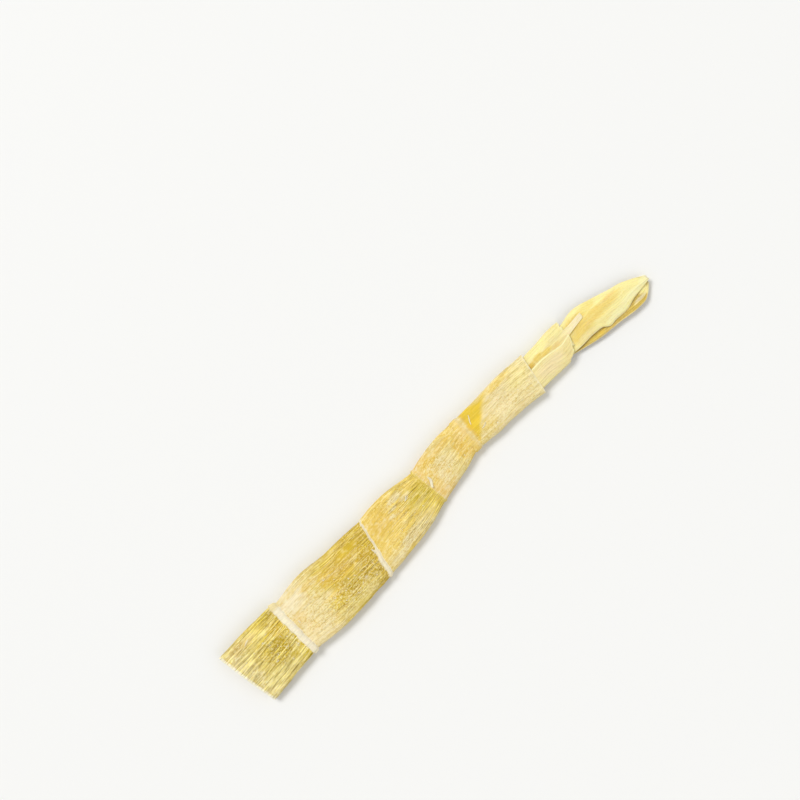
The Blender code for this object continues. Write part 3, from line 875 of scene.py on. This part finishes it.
def paint_stem(along, across, turn, side, hollow, shown):
    """The stem's colours: pale above each node, golden to mustard towards the next, with cream rings, and
    painted shade in its grooves and creases.
    """
    share, number = growth(along)
    first, upper = number == 0, side > 0
    streak, cloud, mottle, striation = (
        round_noise(layers, turn, along)
        for layers in (STREAKS, CLOUDS, MOTTLES, STRIATIONS)
    )
    level = share + LEVEL_CLOUDS * cloud + LEVEL_STREAKS * streak
    tint = np.zeros(share.shape + (3,))
    for i, (low, *higher) in enumerate(INTERNODE_COLOURS):
        rising = plain(low, share.shape)
        for name, start in zip(higher, LEVEL_STARTS):
            rising = add_colour(rising, name, ease((level - start) / LEVEL_CHANGE))
        tint = np.where((number == i)[..., None], rising, tint)
    sway = 0.5 * (streak + cloud)
    tint = np.where(upper[..., None], add_spots(tint, STEM_SPOTS, along, across, sway), tint)
    for name, on_first, on_others, gain in STREAK_COLOURS:
        tint = add_colour(tint, name, np.where(first, on_first, on_others) * ease(gain * streak))
    patched, bright = lay_patch(tint, along, across, streak, cloud)
    tint = np.where(upper[..., None], patched, tint)
    ragged = along + round_noise(RING_RAGGED[:1], turn, along * 0)
    off_ring = 1 - on_ring(ragged, across)
    contrast = np.where(first, FIRST_CONTRAST, 1 + CONTRAST_GROWTH * share)
    grainy = STREAK_SHADE * streak * off_ring + MOTTLE_SHADE * mottle * (1 - 0.7 * bright)
    tint = tint * (1 + contrast * grainy)[..., None]
    flecked = np.array(FLECK_SHARES)[number] * (1 - 0.9 * bright)
    fleck = add_colour(plain("cream", share.shape), "lemon", 0.6 * ease(share * 1.3))
    tint = blend(tint, fleck, PALE_FLECKS * flecked * ease(FLECK_GAIN * mottle - FLECK_START))
    tint = add_colour(tint, "amber", DARK_FLECKS * flecked * ease(-FLECK_GAIN * mottle - FLECK_START))
    # Painted shade in the grooves and creases, stronger towards the upper node and on the first internode
    dark = (0.55 + 0.45 * ease(share * GROOVE_GROWTH + 0.5 * first)) * hollow
    tint = add_colour(tint, "painted_hollow_shade", np.array(GROOVE_PAINTED_SHADE_STRENGTH)[number] * dark * off_ring)
    tint, pale = paint_rings(tint, ragged, across, 1 + 0.05 * mottle + 0.04 * cloud + 0.05 * striation)
    tint = np.where(upper[..., None], add_spots(tint, RING_SPOTS, along, across, 0.0), tint)
    tint = add_colour(tint, "white", 0.9 * ease((CUT_LIP - along) / CUT_LIP_SOFT))
    smooth = spot_mask(SMOOTH_SPOTS, along, across, 0.3 * streak) * upper
    dust = spot_mask(DUSTY_SPOTS, along, across, 0.6 * (streak + cloud)) * upper
    dust = np.maximum(dust, 0.4 + 0.25 * cloud) * (1 - 0.7 * pale) * (1 - smooth)
    return with_fibre_shading_and_dust(tint, shown * (1 - 0.8 * pale) * (1 - 0.8 * smooth), dust)


def stem_points():
    """The stem's outer surface as a grid of points, with its colours and its grain."""
    across, side, turn = section_loop()
    along = fine_rows()
    half_width, middle, half_height, middle_height = stem_section(along)
    column = np.broadcast_to(along[:, None], (len(along), len(across)))
    round_part = section_height(across)
    out_y = np.sign(across) * np.abs(across) ** (SECTION_POWER - 1) / half_width
    out_z = side * round_part ** (SECTION_POWER - 1) / half_height
    size = np.hypot(out_y, out_z)
    ragged = column + round_noise(RING_RAGGED, turn, column * 0)
    flat_y = half_width * across + middle
    upper = side > 0
    rough = 1 - 0.85 * spot_mask(SMOOTH_SPOTS, column, flat_y, 0.0) * upper
    depth, hollow, shown = fibres(column, turn)
    crease, crease_hollow = (part * upper for part in creases(column, flat_y))
    depth, hollow = depth * rough + crease, np.maximum(hollow * rough, crease_hollow)
    ringed = on_ring(ragged, flat_y)
    lift = ring_rise(ragged, flat_y) + ridges(column, across, side)
    lift = lift + waves(WRINKLES, column, across, side) + round_noise(DENTS, turn, column)
    lift = lift + (depth + round_noise(SKIN_GRAIN, turn, column)) * (1 - ringed)
    lift = lift + round_noise(RING_GRAIN, turn, column) * ringed
    y = half_width * across + lift * out_y / size
    z = half_height * round_part * side + lift * out_z / size + middle_height
    z = press_flat(column, y, z, side < 0)
    x = column + stem_lean(along)[:, None] * y
    y = y + middle
    tint = paint_stem(column, y, turn, np.broadcast_to(side, column.shape), hollow, shown)
    grain = np.stack((column, np.broadcast_to(turn * STEM_GIRTH, column.shape)), axis=2)
    return np.stack((x, y, z), axis=2), tint, grain


def hollow_rings(along, inset, half_height):
    """Rings that line the slit mouth or the cup inside the rim."""
    across, side, _ = section_loop()
    half_width, middle, _, middle_height = stem_section(along)
    y = (half_width - inset[:, None]) * across
    z = half_height[:, None] * section_height(across) * side + middle_height
    x = along[:, None] + stem_lean(along)[:, None] * y
    return np.stack((x, y + middle, z), axis=2)


def finish_mesh(name, vertices, faces, tint, grain):
    """A mesh in metres with its colours and its grain coordinates, shaded smooth."""
    mesh = bpy.data.meshes.new(name)
    mesh.from_pydata((vertices * MM).tolist(), [], faces)
    shades = np.concatenate((tint[:, :3], np.ones((len(tint), 1))), axis=1)
    layer = mesh.color_attributes.new("tint", "FLOAT_COLOR", "POINT")
    layer.data.foreach_set("color", shades.astype(np.float32).ravel())
    for channel, extra_layer in ((3, "fibre_shading"), (4, "dust")):
        values = mesh.attributes.new(extra_layer, "FLOAT", "POINT")
        values.data.foreach_set("value", tint[:, channel].astype(np.float32))
    corners = np.empty(len(mesh.loops), np.int32)
    mesh.loops.foreach_get("vertex_index", corners)
    uv = mesh.uv_layers.new(name="grain")
    uv.data.foreach_set("uv", (grain[corners] * MM).astype(np.float32).ravel())
    mesh.shade_smooth()
    mesh.set_sharp_from_angle(angle=SHARP_ANGLE)
    return mesh


def face_outward(mesh):
    """Turns the faces of closed shells so that they face out."""
    work = bmesh.new()
    work.from_mesh(mesh)
    bmesh.ops.recalc_face_normals(work, faces=work.faces)
    work.to_mesh(mesh)
    work.free()


def grid_faces(rows, columns, closed):
    """Quads over a grid of points, round to the first column again if closed."""
    row = np.arange(rows - 1)[:, None] * columns
    here = np.arange(columns if closed else columns - 1)
    there = (here + 1) % columns
    corners = (row + here, row + there, row + columns + there, row + columns + here)
    return np.stack(corners, axis=2).reshape(-1, 4).tolist()


def grid_normals(points):
    """The surface normal at each point of a grid."""
    normal = np.cross(np.gradient(points, axis=0), np.gradient(points, axis=1))
    return normal / np.maximum(np.linalg.norm(normal, axis=2, keepdims=True), 1e-9)


def put_in_scene(name, data):
    """A new object of the scene with a mesh, a light or a camera."""
    thing = bpy.data.objects.new(name, data)
    bpy.context.scene.collection.objects.link(thing)
    return thing


def make_stem():
    """The stem as one closed mesh: mouth, outer surface and cup."""
    outside, tint, grain = stem_points()
    mouth = hollow_rings(*np.array(MOUTH).T)
    cup_along = np.array((STEM_END, STEM_END - RIM_DEPTH))
    cup = hollow_rings(cup_along, np.full(2, RIM_WALL), follow(STEM_THICKNESS, cup_along) / 2 - RIM_WALL)
    rings = np.concatenate((mouth, outside, cup))
    rows, columns = rings.shape[:2]
    faces = grid_faces(rows, columns, True)
    for start in (0, (rows - 1) * columns):
        faces.append(tuple(range(start, start + columns)))
    # The mouth's lining gets painted shade, darker deeper inside
    shaded_lining = plain("ochre", mouth.shape[:2]) * np.array(MOUTH_PAINTED_SHADE)[:, None, None]
    inner, cup_tint = (with_fibre_shading_and_dust(part, 0.3, 0.1) for part in (shaded_lining, plain("straw", cup.shape[:2])))
    tint = np.concatenate((inner, tint, cup_tint)).reshape(-1, 5)
    grain = np.concatenate((mouth[:, :, :2], grain, cup[:, :, :2])).reshape(-1, 2)
    mesh = finish_mesh("stem", rings.reshape(-1, 3), faces, tint, grain)
    face_outward(mesh)
    return mesh, outside


def sheath_section(along):
    """One row of the outer sheath's middle surface: from its margin on top, round to the right, underneath,
    up the left side and on under the margin, evenly spaced."""
    place = np.array([along])
    left, right = follow(SHEATH_EDGES, place)[0]
    under, top = follow(SHEATH_HEIGHTS, place)[0]
    half_width, half_height = (left - right) / 2, (top - under) / 2
    middle = (left + right) / 2

    def angle_at(across):
        share = (across - middle) / half_width
        return math.acos(math.copysign(abs(share) ** (SECTION_POWER / 2), share))

    start = angle_at(float(follow(SHEATH_MARGIN, place)[0]))
    end = 2 * math.pi + angle_at(SHEATH_INNER_MARGIN)
    angle = np.linspace(start, end, SHEATH_SAMPLES)
    inset = SHEATH_OVERLAP_STEP * ease((angle - SHEATH_STEP_START) / SHEATH_STEP_TURN)
    wide, high = section_place(angle)
    y, z = (half_width - inset) * wide, (half_height - inset) * high
    length = run_length(y, z)
    even = np.linspace(0.0, length[-1], SHEATH_COLUMNS)
    return np.interp(even, length, y) + middle, np.interp(even, length, z) + (under + top) / 2


def veins(along, girth, seed, strength):
    """Fine parallel veins of a leaf: their relief in millimetres, and how deep each point lies in one."""
    at = girth + 0.25 * noise(girth / 3.0, along / 8.0, seed)
    main = noise(at / VEIN_PITCH, along / 22.0, seed + 1)
    fine = noise(at / FINE_VEIN_PITCH, along / 14.0, seed + 2)
    groove = (1 - np.abs(main)) ** 4
    thin = (1 - np.abs(fine)) ** 3
    crumple = 0.10 * noise(girth / 4.5, along / 6.0, seed + 3)
    crumple = crumple + 0.04 * noise(girth / 1.5, along / 2.2, seed + 4)
    relief = crumple - strength * (VEIN_DEPTH * groove + FINE_VEIN_DEPTH * thin)
    return relief, strength * np.clip(0.7 * groove + 0.4 * thin, 0, 1)


def paint_leaf(along, across, girth, hollow, base, spots, seed):
    """A leaf's colours: streaked along its veins, with its own spots and painted shade in the hollows of its
    veins.
    """
    streak = noise(girth / 0.7, along / 12.0, seed) + 0.6 * noise(girth / 0.3, along / 7.0, seed + 1)
    cloud = noise(girth / 5.0, along / 7.0, seed + 2)
    tint = add_spots(plain(base, along.shape), spots, along, across, 0.5 * (streak + cloud))
    # Painted shade in the hollows of the veins
    tint = add_colour(tint, "painted_hollow_shade", VEIN_PAINTED_SHADE * hollow)
    return tint * (1 + 0.05 * streak + 0.03 * cloud)[..., None]


def thicken(piece, thickness, weights=None):
    """Gives a sheet its thickness, less where its weights are lower."""
    solidify = piece.modifiers.new("Thickness", "SOLIDIFY")
    solidify.thickness = thickness * MM
    solidify.offset = 0.0
    if weights is not None:
        group = piece.vertex_groups.new(name="thickness")
        levels = np.round(weights.ravel() * 20) / 20
        for level in np.unique(levels):
            group.add(np.flatnonzero(levels == level).tolist(), float(level), "REPLACE")
        solidify.vertex_group = group.name
        solidify.thickness_vertex_group = 0.0


def margin_weights(rows, columns):
    """How thick a leaf is over its grid: thin at its side margins and its far end."""
    side = np.linspace(-1.0, 1.0, columns)
    end = np.linspace(0.0, 1.0, rows)[:, None]
    inward = np.minimum(ease((1 - np.abs(side)) / SIDE_MARGIN), ease((1 - end) / END_MARGIN))
    return MARGIN_THIN + (1 - MARGIN_THIN) * inward


def add_leaf(name, points, tint, along, girth, node, strength):
    """Makes a leaf of a grid of points, which stands in its node's place."""
    rows, columns = points.shape[:2]
    tint = with_fibre_shading_and_dust(tint, strength, LEAF_DUST).reshape(-1, 5)
    grain = np.stack((along, girth), axis=2).reshape(-1, 2)
    mesh = finish_mesh(name, points.reshape(-1, 3) + SHIFT, grid_faces(rows, columns, False), tint, grain)
    piece = put_in_scene(name, mesh)
    thicken(piece, LEAF_THICKNESS, margin_weights(rows, columns))
    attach(piece, "root")
    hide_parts(node)
    piece.data.materials.append(LEAF_MATERIAL)


def make_sheath():
    """The wrapped sheath with its torn top edge and the strip that peels on over the tip leaf."""
    around = np.linspace(0.0, 1.0, SHEATH_COLUMNS)
    shortfall = np.interp(around, *np.array(SHEATH_TEAR).T) + 0.5 * SHEATH_JAGS
    for size, count, seed in ((0.7 * SHEATH_JAGS, 44, 90), (0.6 * SHEATH_JAGS, 120, 91)):
        shortfall = shortfall + size * noise(around * count, 0.5, seed)
    strip = ease(STRIP_BLUNT * (1.0 - np.abs(around - STRIP_PLACE) / STRIP_HALF_WIDTH))
    ribs = LEAF_RIB * np.sin(2 * math.pi * SHEATH_RIBS * around)
    shares = np.linspace(0.0, 1.0, SHEATH_ROWS)
    rows, places = [], []
    for share in shares:
        along = SHEATH_START + (SHEATH_END - SHEATH_START) * share
        y, z = sheath_section(along)
        middle = follow(SHEATH_EDGES, np.array([along]))[0].mean()
        lean = np.interp(along, *np.array(SHEATH_LEANS).T)
        reach = strip * max(0.0, (share - STRIP_FROM) / (1.0 - STRIP_FROM))
        x = along + lean * (y - middle) - shortfall * share**2 + STRIP_LENGTH * reach
        rows.append(np.stack((x, y + STRIP_SWAY * reach, z + ribs), axis=1))
        places.append(along + STRIP_LENGTH * reach)
    points, along = np.array(rows), np.array(places)
    girth = np.broadcast_to(around * SHEATH_GIRTH, along.shape)
    relief, hollow = veins(along, girth, 100, SHEATH_VEINS)
    settled = ease((along - SHEATH_START - 3.5) / 4.0)
    points = points + grid_normals(points) * (relief * settled)[..., None]
    tint = paint_leaf(along, points[:, :, 1], girth, hollow, "wheat", SHEATH_SPOTS, 110)
    share = shares[:, None]
    edge = np.maximum(ease((0.016 - around) / 0.006), 0.8 * ease((share - 0.97) / 0.02))
    tint = add_colour(tint, "milk", edge)
    tint = add_colour(tint, "pearl", 0.8 * strip * ease((share - STRIP_FROM) / 0.2))
    add_leaf("outer_sheath_leaf", points, tint, along, girth, "outer_sheath", SHEATH_VEINS)


def make_leaf(name, node, edges, rises, ribs, base, spots, seed, strength):
    """A free leaf over the same middle surface as its solid, with veins and a ragged end."""
    along = np.linspace(edges[0][0], edges[-1][0], LEAF_ROWS)
    left, right = follow(edges, along).T
    height, left_rise, right_rise = follow(rises, along).T
    across = np.linspace(-1.0, 1.0, LEAF_COLUMNS)
    share = (across + 1) / 2
    y = right[:, None] * (1 - share) + left[:, None] * share
    bend = np.where(across > 0, left_rise[:, None], right_rise[:, None]) * across**2
    fade = 1.0 - across**8
    sway = RIB_SWAY * np.sin(along / RIB_SWAY_LENGTH)[:, None]
    rib = LEAF_RIB * np.sin(math.pi * ribs * across + sway) * fade
    z = height[:, None] + bend + rib
    place = np.broadcast_to(along[:, None], z.shape)
    reach = (place - along[0]) / (along[-1] - along[0])
    ragged = 0.5 * noise(across * 9 + 20, 0.5, seed + 7) + 0.3 * noise(across * 22 + 40, 0.5, seed + 8)
    x = place + (ragged - 0.5) * ease((reach - 0.9) / 0.1)
    girth = np.broadcast_to(across * LEAF_HALF_GIRTH, z.shape)
    relief, hollow = veins(place, girth, seed, strength)
    points = np.stack((x, y, z), axis=2)
    points = points - grid_normals(points) * (relief * ease((place - SHEATH_END) / 6.0))[..., None]
    tint = paint_leaf(place, y, girth, hollow, base, spots, seed + 20)
    margin = np.maximum(ease((np.abs(across) - 0.94) / 0.05), ease((reach - 0.985) / 0.01))
    tint = add_colour(tint, "cream", 0.6 * margin)
    add_leaf(name, points, tint, place, girth, node, strength)


def nearest_point(upper, place):
    """The number of the point of the stem's upper face that lies nearest to a place."""
    return np.argmin(np.hypot(upper[:, 0] - place[0], upper[:, 1] - place[1]))


def make_curls(outside):
    """Curls of torn skin that lie on the stem's upper face, with their ends lifted."""
    upper = outside[:, :UPPER_COLUMNS].reshape(-1, 3)
    points, faces = [], []
    steps, sides = np.linspace(0.0, 1.0, CURL_STEPS), np.array((-0.5, -0.2, 0.2, 0.5))
    for number, (start, start_side, end, end_side, width, lift) in enumerate(CURLS):
        heading = np.array((end - start, end_side - start_side))
        aside = np.array((-heading[1], heading[0])) / np.hypot(*heading)
        first = len(points)
        for share in steps:
            narrow = width * (0.35 + 0.65 * math.sin(math.pi * share) ** 0.5)
            bend = 0.35 * width * math.sin(5.0 * share + number)
            middle = np.array((start, start_side)) + heading * share + aside * bend
            rise = CURL_LIFT + lift * (2 * share - 1) ** 2
            for place in middle + np.outer(sides * narrow, aside):
                points.append((*place, upper[nearest_point(upper, place)][2] + rise))
            points[-1] = (*points[-1][:2], points[-1][2] + 0.2 * width)
        faces.extend(tuple(first + i for i in face) for face in grid_faces(len(steps), len(sides), False))
    points = np.array(points)
    tint = with_fibre_shading_and_dust(plain("cream", points.shape[:1]), 0.3, 0.2)
    piece = put_in_scene("torn_curls", finish_mesh("torn_curls", points + SHIFT, faces, tint, points[:, :2]))
    thicken(piece, CURL_THICKNESS)
    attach(piece, "root")
    piece.data.materials.append(LEAF_MATERIAL)


def make_salt(outside):
    """Salt crystals: small, uneven cubes half sunk in the stem's upper face."""
    rng = np.random.default_rng(SALT_SEED)
    normal = grid_normals(outside)
    if normal[:, UPPER_COLUMNS // 2, 2].mean() < 0:
        normal = -normal
    upper, upper_normal = (grid[:, :UPPER_COLUMNS].reshape(-1, 3) for grid in (outside, normal))
    corner = np.array([(x, y, z) for x in (-1, 1) for y in (-1, 1) for z in (-1, 1)], float)
    sides = ((0, 1, 3, 2), (4, 6, 7, 5), (0, 4, 5, 1), (2, 3, 7, 6), (0, 2, 6, 4), (1, 5, 7, 3))
    low, high = CRYSTAL_SIZE
    vertices, faces = [], []
    for place, aside, half_length, half_width, count in SALT_PATCHES:
        for spot in rng.normal((place, aside), (half_length * 0.6, half_width * 0.6), (count, 2)):
            nearest = nearest_point(upper, spot)
            half = (low + (high - low) * rng.random() ** 4) / 2
            turn, _ = np.linalg.qr(rng.normal(size=(3, 3)))
            shape = corner * half * rng.uniform(0.6, 1.3, 3) + rng.normal(0, 0.12 * half, (8, 3))
            first = len(vertices)
            vertices.extend(upper[nearest] + 0.3 * half * upper_normal[nearest] + shape @ turn)
            faces.extend(tuple(first + i for i in side) for side in sides)
    mesh = bpy.data.meshes.new("salt_crystals")
    mesh.from_pydata(((np.array(vertices) + SHIFT) * MM).tolist(), [], faces)
    face_outward(mesh)
    piece = put_in_scene("salt_crystals", mesh)
    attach(piece, "root")
    piece.data.materials.append(salt_material())


def fill_sockets(tree, node, values):
    """Sets a node's sockets, each to a constant or by a link from another node's socket."""
    for socket, value in values:
        if isinstance(value, bpy.types.NodeSocket):
            tree.links.new(value, node.inputs[socket])
        else:
            node.inputs[socket].default_value = value


def add_node(tree, kind, values=(), **settings):
    """Adds a shader node with its settings and the values of its sockets."""
    node = tree.nodes.new("ShaderNode" + kind)
    for name, value in settings.items():
        setattr(node, name, value)
    fill_sockets(tree, node, values)
    return node


def span(tree, value, low, high, start, end):
    """Turns a value that runs from low to high into one that runs softly from start to end."""
    values = (("Value", value), ("From Min", low), ("From Max", high), ("To Min", start), ("To Max", end))
    return add_node(tree, "MapRange", values, interpolation_type="SMOOTHSTEP").outputs["Result"]


def calculate(tree, operation, first, second):
    """Adds or multiplies two values."""
    return add_node(tree, "Math", ((0, first), (1, second)), operation=operation).outputs["Value"]


def lay_over(tree, amount, under, over, blend_type="MIX"):
    """Mixes one colour over another by an amount, a value or a socket."""
    values = ((MIX_FACTOR, amount), (MIX_UNDER, under), (MIX_OVER, over))
    return add_node(tree, "Mix", values, data_type="RGBA", blend_type=blend_type).outputs[MIX_RESULT]


def fibre_noise(tree, pitch, length, detail):
    """Streaks along the grain, this many millimetres apart and long."""
    grain = add_node(tree, "UVMap", uv_map="grain").outputs["UV"]
    scale = (1.0 / (length * MM), 2.0 / (pitch * MM), 1.0)
    place = add_node(tree, "Mapping", (("Vector", grain), ("Scale", scale))).outputs["Vector"]
    values = (("Vector", place), ("Scale", 1.0), ("Detail", detail), ("Roughness", 0.62))
    values += (("Distortion", 0.25),)
    return add_node(tree, "TexNoise", values).outputs["Fac"]


def flesh_noise(tree, size, detail):
    """Cloudy spots of a size in millimetres, all over the piece."""
    place = add_node(tree, "TexCoord").outputs["Object"]
    values = (("Vector", place), ("Scale", 1.0 / (size * MM)), ("Detail", detail), ("Roughness", 0.65))
    return add_node(tree, "TexNoise", values).outputs["Fac"]


def new_material(name):
    """A new material with its node tree and its shader."""
    material = bpy.data.materials.new(name)
    material.use_nodes = True
    return material, material.node_tree, material.node_tree.nodes["Principled BSDF"]


def make_material(name, pitch, length, relief, roughness, subsurface):
    """Dried plant flesh: the piece's own colours, fibres over them as bump with painted shade in their
    grooves and a painted highlight on their crests, salty scales, and a dry gloss.
    """
    material, tree, shader = new_material(name)
    tint, fibre_shading, dust = (
        add_node(tree, "Attribute", attribute_name=layer).outputs["Color" if layer == "tint" else "Fac"]
        for layer in ("tint", "fibre_shading", "dust")
    )
    streaks = fibre_noise(tree, pitch, length, STREAK_DETAIL)
    scales = fibre_noise(tree, *SCALE_NOISE)
    specks = flesh_noise(tree, *SPECK_NOISE)

    def share(value, change, strength, most=1.0):
        part = calculate(tree, "MULTIPLY", span(tree, value, *change), strength)
        return part if most == 1.0 else calculate(tree, "MULTIPLY", part, most)

    # Painted shade darkens the fibres' grooves and a painted highlight brightens their crests, as strongly
    # as the fibres show at each point
    base = lay_over(tree, share(streaks, GROOVE_SPAN, fibre_shading), tint, FIBRE_GROOVE_PAINTED_SHADE, "MULTIPLY")
    crest_highlight = lay_over(tree, 1.0, base, FIBRE_CREST_PAINTED_HIGHLIGHT, "ADD")
    base = lay_over(tree, share(streaks, CREST_SPAN, fibre_shading), base, crest_highlight)
    base = lay_over(tree, share(scales, BLOTCH_SPAN, dust), base, BLOTCH_SHADE, "MULTIPLY")
    base = lay_over(tree, share(scales, SCALE_SPAN, dust, SCALE_COVER), base, SCALE_COLOUR)
    base = lay_over(tree, share(specks, SPECK_SPAN, dust, SPECK_COVER), base, SALT_COLOUR)
    scaly = calculate(tree, "MULTIPLY", scales, calculate(tree, "MULTIPLY", dust, SCALE_RELIEF))
    height = calculate(tree, "ADD", calculate(tree, "MULTIPLY", streaks, fibre_shading), scaly)
    bump = (("Height", height), ("Strength", 0.8), ("Distance", relief * MM))
    fill_sockets(tree, shader, (
        ("Base Color", base),
        ("Roughness", span(tree, streaks, 0.3, 0.7, roughness + 0.1, roughness - 0.1)),
        ("Normal", add_node(tree, "Bump", bump).outputs["Normal"]),
        ("Specular IOR Level", 0.3),
        ("Subsurface Weight", subsurface),
        ("Subsurface Radius", (1.0, 0.7, 0.25)),
        ("Subsurface Scale", 1.2 * MM),
    ))
    return material


def salt_material():
    """Cloudy, slightly translucent salt."""
    material, tree, shader = new_material("salt")
    cloud = flesh_noise(tree, 1.1, 2.0)
    ramp = add_node(tree, "ValToRGB", (("Fac", cloud),))
    for element, shade in zip(ramp.color_ramp.elements, (SALT_SHADE, SALT_COLOUR)):
        element.color = shade
    fill_sockets(tree, shader, (
        ("Base Color", ramp.outputs["Color"]),
        ("Roughness", span(tree, cloud, 0.3, 0.7, 0.45, 0.6)),
        ("Subsurface Weight", 0.3),
        ("Subsurface Radius", (1.0, 1.0, 1.0)),
        ("Subsurface Scale", 0.5 * MM),
    ))
    return material


def find_shift(outside):
    """From the shoot's own millimetres to the frame's: the fine stem's box is set on the solid stem's."""
    low, high = (np.array(corner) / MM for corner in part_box("culm"))
    points = outside.reshape(-1, 3)
    shift = ((low - points.min(axis=0)) + (high - points.max(axis=0))) / 2
    shift[2] = low[2] - points[:, 2].min()
    return shift


def make_floor():
    """A wide, pale surface under the shoot."""
    bpy.ops.mesh.primitive_plane_add(size=FLOOR_SIZE, location=(0.0, 0.0, 0.0))
    floor = bpy.context.object
    floor.name = "floor"
    material, tree, shader = new_material("floor")
    fill_sockets(tree, shader, (("Base Color", FLOOR_COLOUR), ("Roughness", 0.6)))
    floor.data.materials.append(material)


def add_light(name, place, strength, width):
    """A distant soft light that shines from a place towards the origin, as wide as an angle in degrees."""
    data = bpy.data.lights.new(name, "SUN")
    data.energy = strength
    data.angle = math.radians(width)
    lamp = put_in_scene(name, data)
    lamp.location = place
    lamp.rotation_euler = Vector(place).to_track_quat("Z", "Y").to_euler()


def make_lights():
    """A large soft key from the shoot's left, which is the photograph's upper left, and a bright room."""
    for light in LIGHTS:
        add_light(*light)
    world = bpy.data.worlds.new("room")
    bpy.context.scene.world = world
    world.use_nodes = True
    background = world.node_tree.nodes["Background"]
    room = (("Color", (1.0, 1.0, 1.0, 1.0)), ("Strength", ROOM_STRENGTH))
    fill_sockets(world.node_tree, background, room)


def make_camera():
    """Looks straight down, turned so that the shoot lies as in the photograph, at the same scale."""
    data = bpy.data.cameras.new("camera")
    data.lens = LENS
    data.sensor_width = SENSOR
    camera = put_in_scene("camera", data)
    distance = PHOTO_PIXELS * MM_PER_PIXEL * LENS / SENSOR + VIEWED_HEIGHT
    middle = np.array((*PHOTO_MIDDLE, distance)) + SHIFT
    camera.location = Vector(middle * MM)
    camera.rotation_euler = (0.0, 0.0, -SHOOT_ANGLE)
    bpy.context.scene.camera = camera


stem_mesh, stem_outside = make_stem()
SHIFT = find_shift(stem_outside)
stem_mesh.transform(Matrix.Translation(Vector(SHIFT * MM)))
stem = put_in_scene("stem", stem_mesh)
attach(stem, "root")
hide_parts("culm")
stem.data.materials.append(make_material("dried_stem", 1.1, 14.0, 0.35, 0.72, 0.08))

LEAF_MATERIAL = make_material("dried_leaf", 0.9, 18.0, 0.15, 0.7, 0.15)
make_sheath()
for leaf in FREE_LEAVES:
    make_leaf(*leaf)
make_curls(stem_outside)
make_salt(stem_outside)

make_floor()
make_lights()
make_camera()
bpy.context.scene.view_settings.view_transform = "Standard"
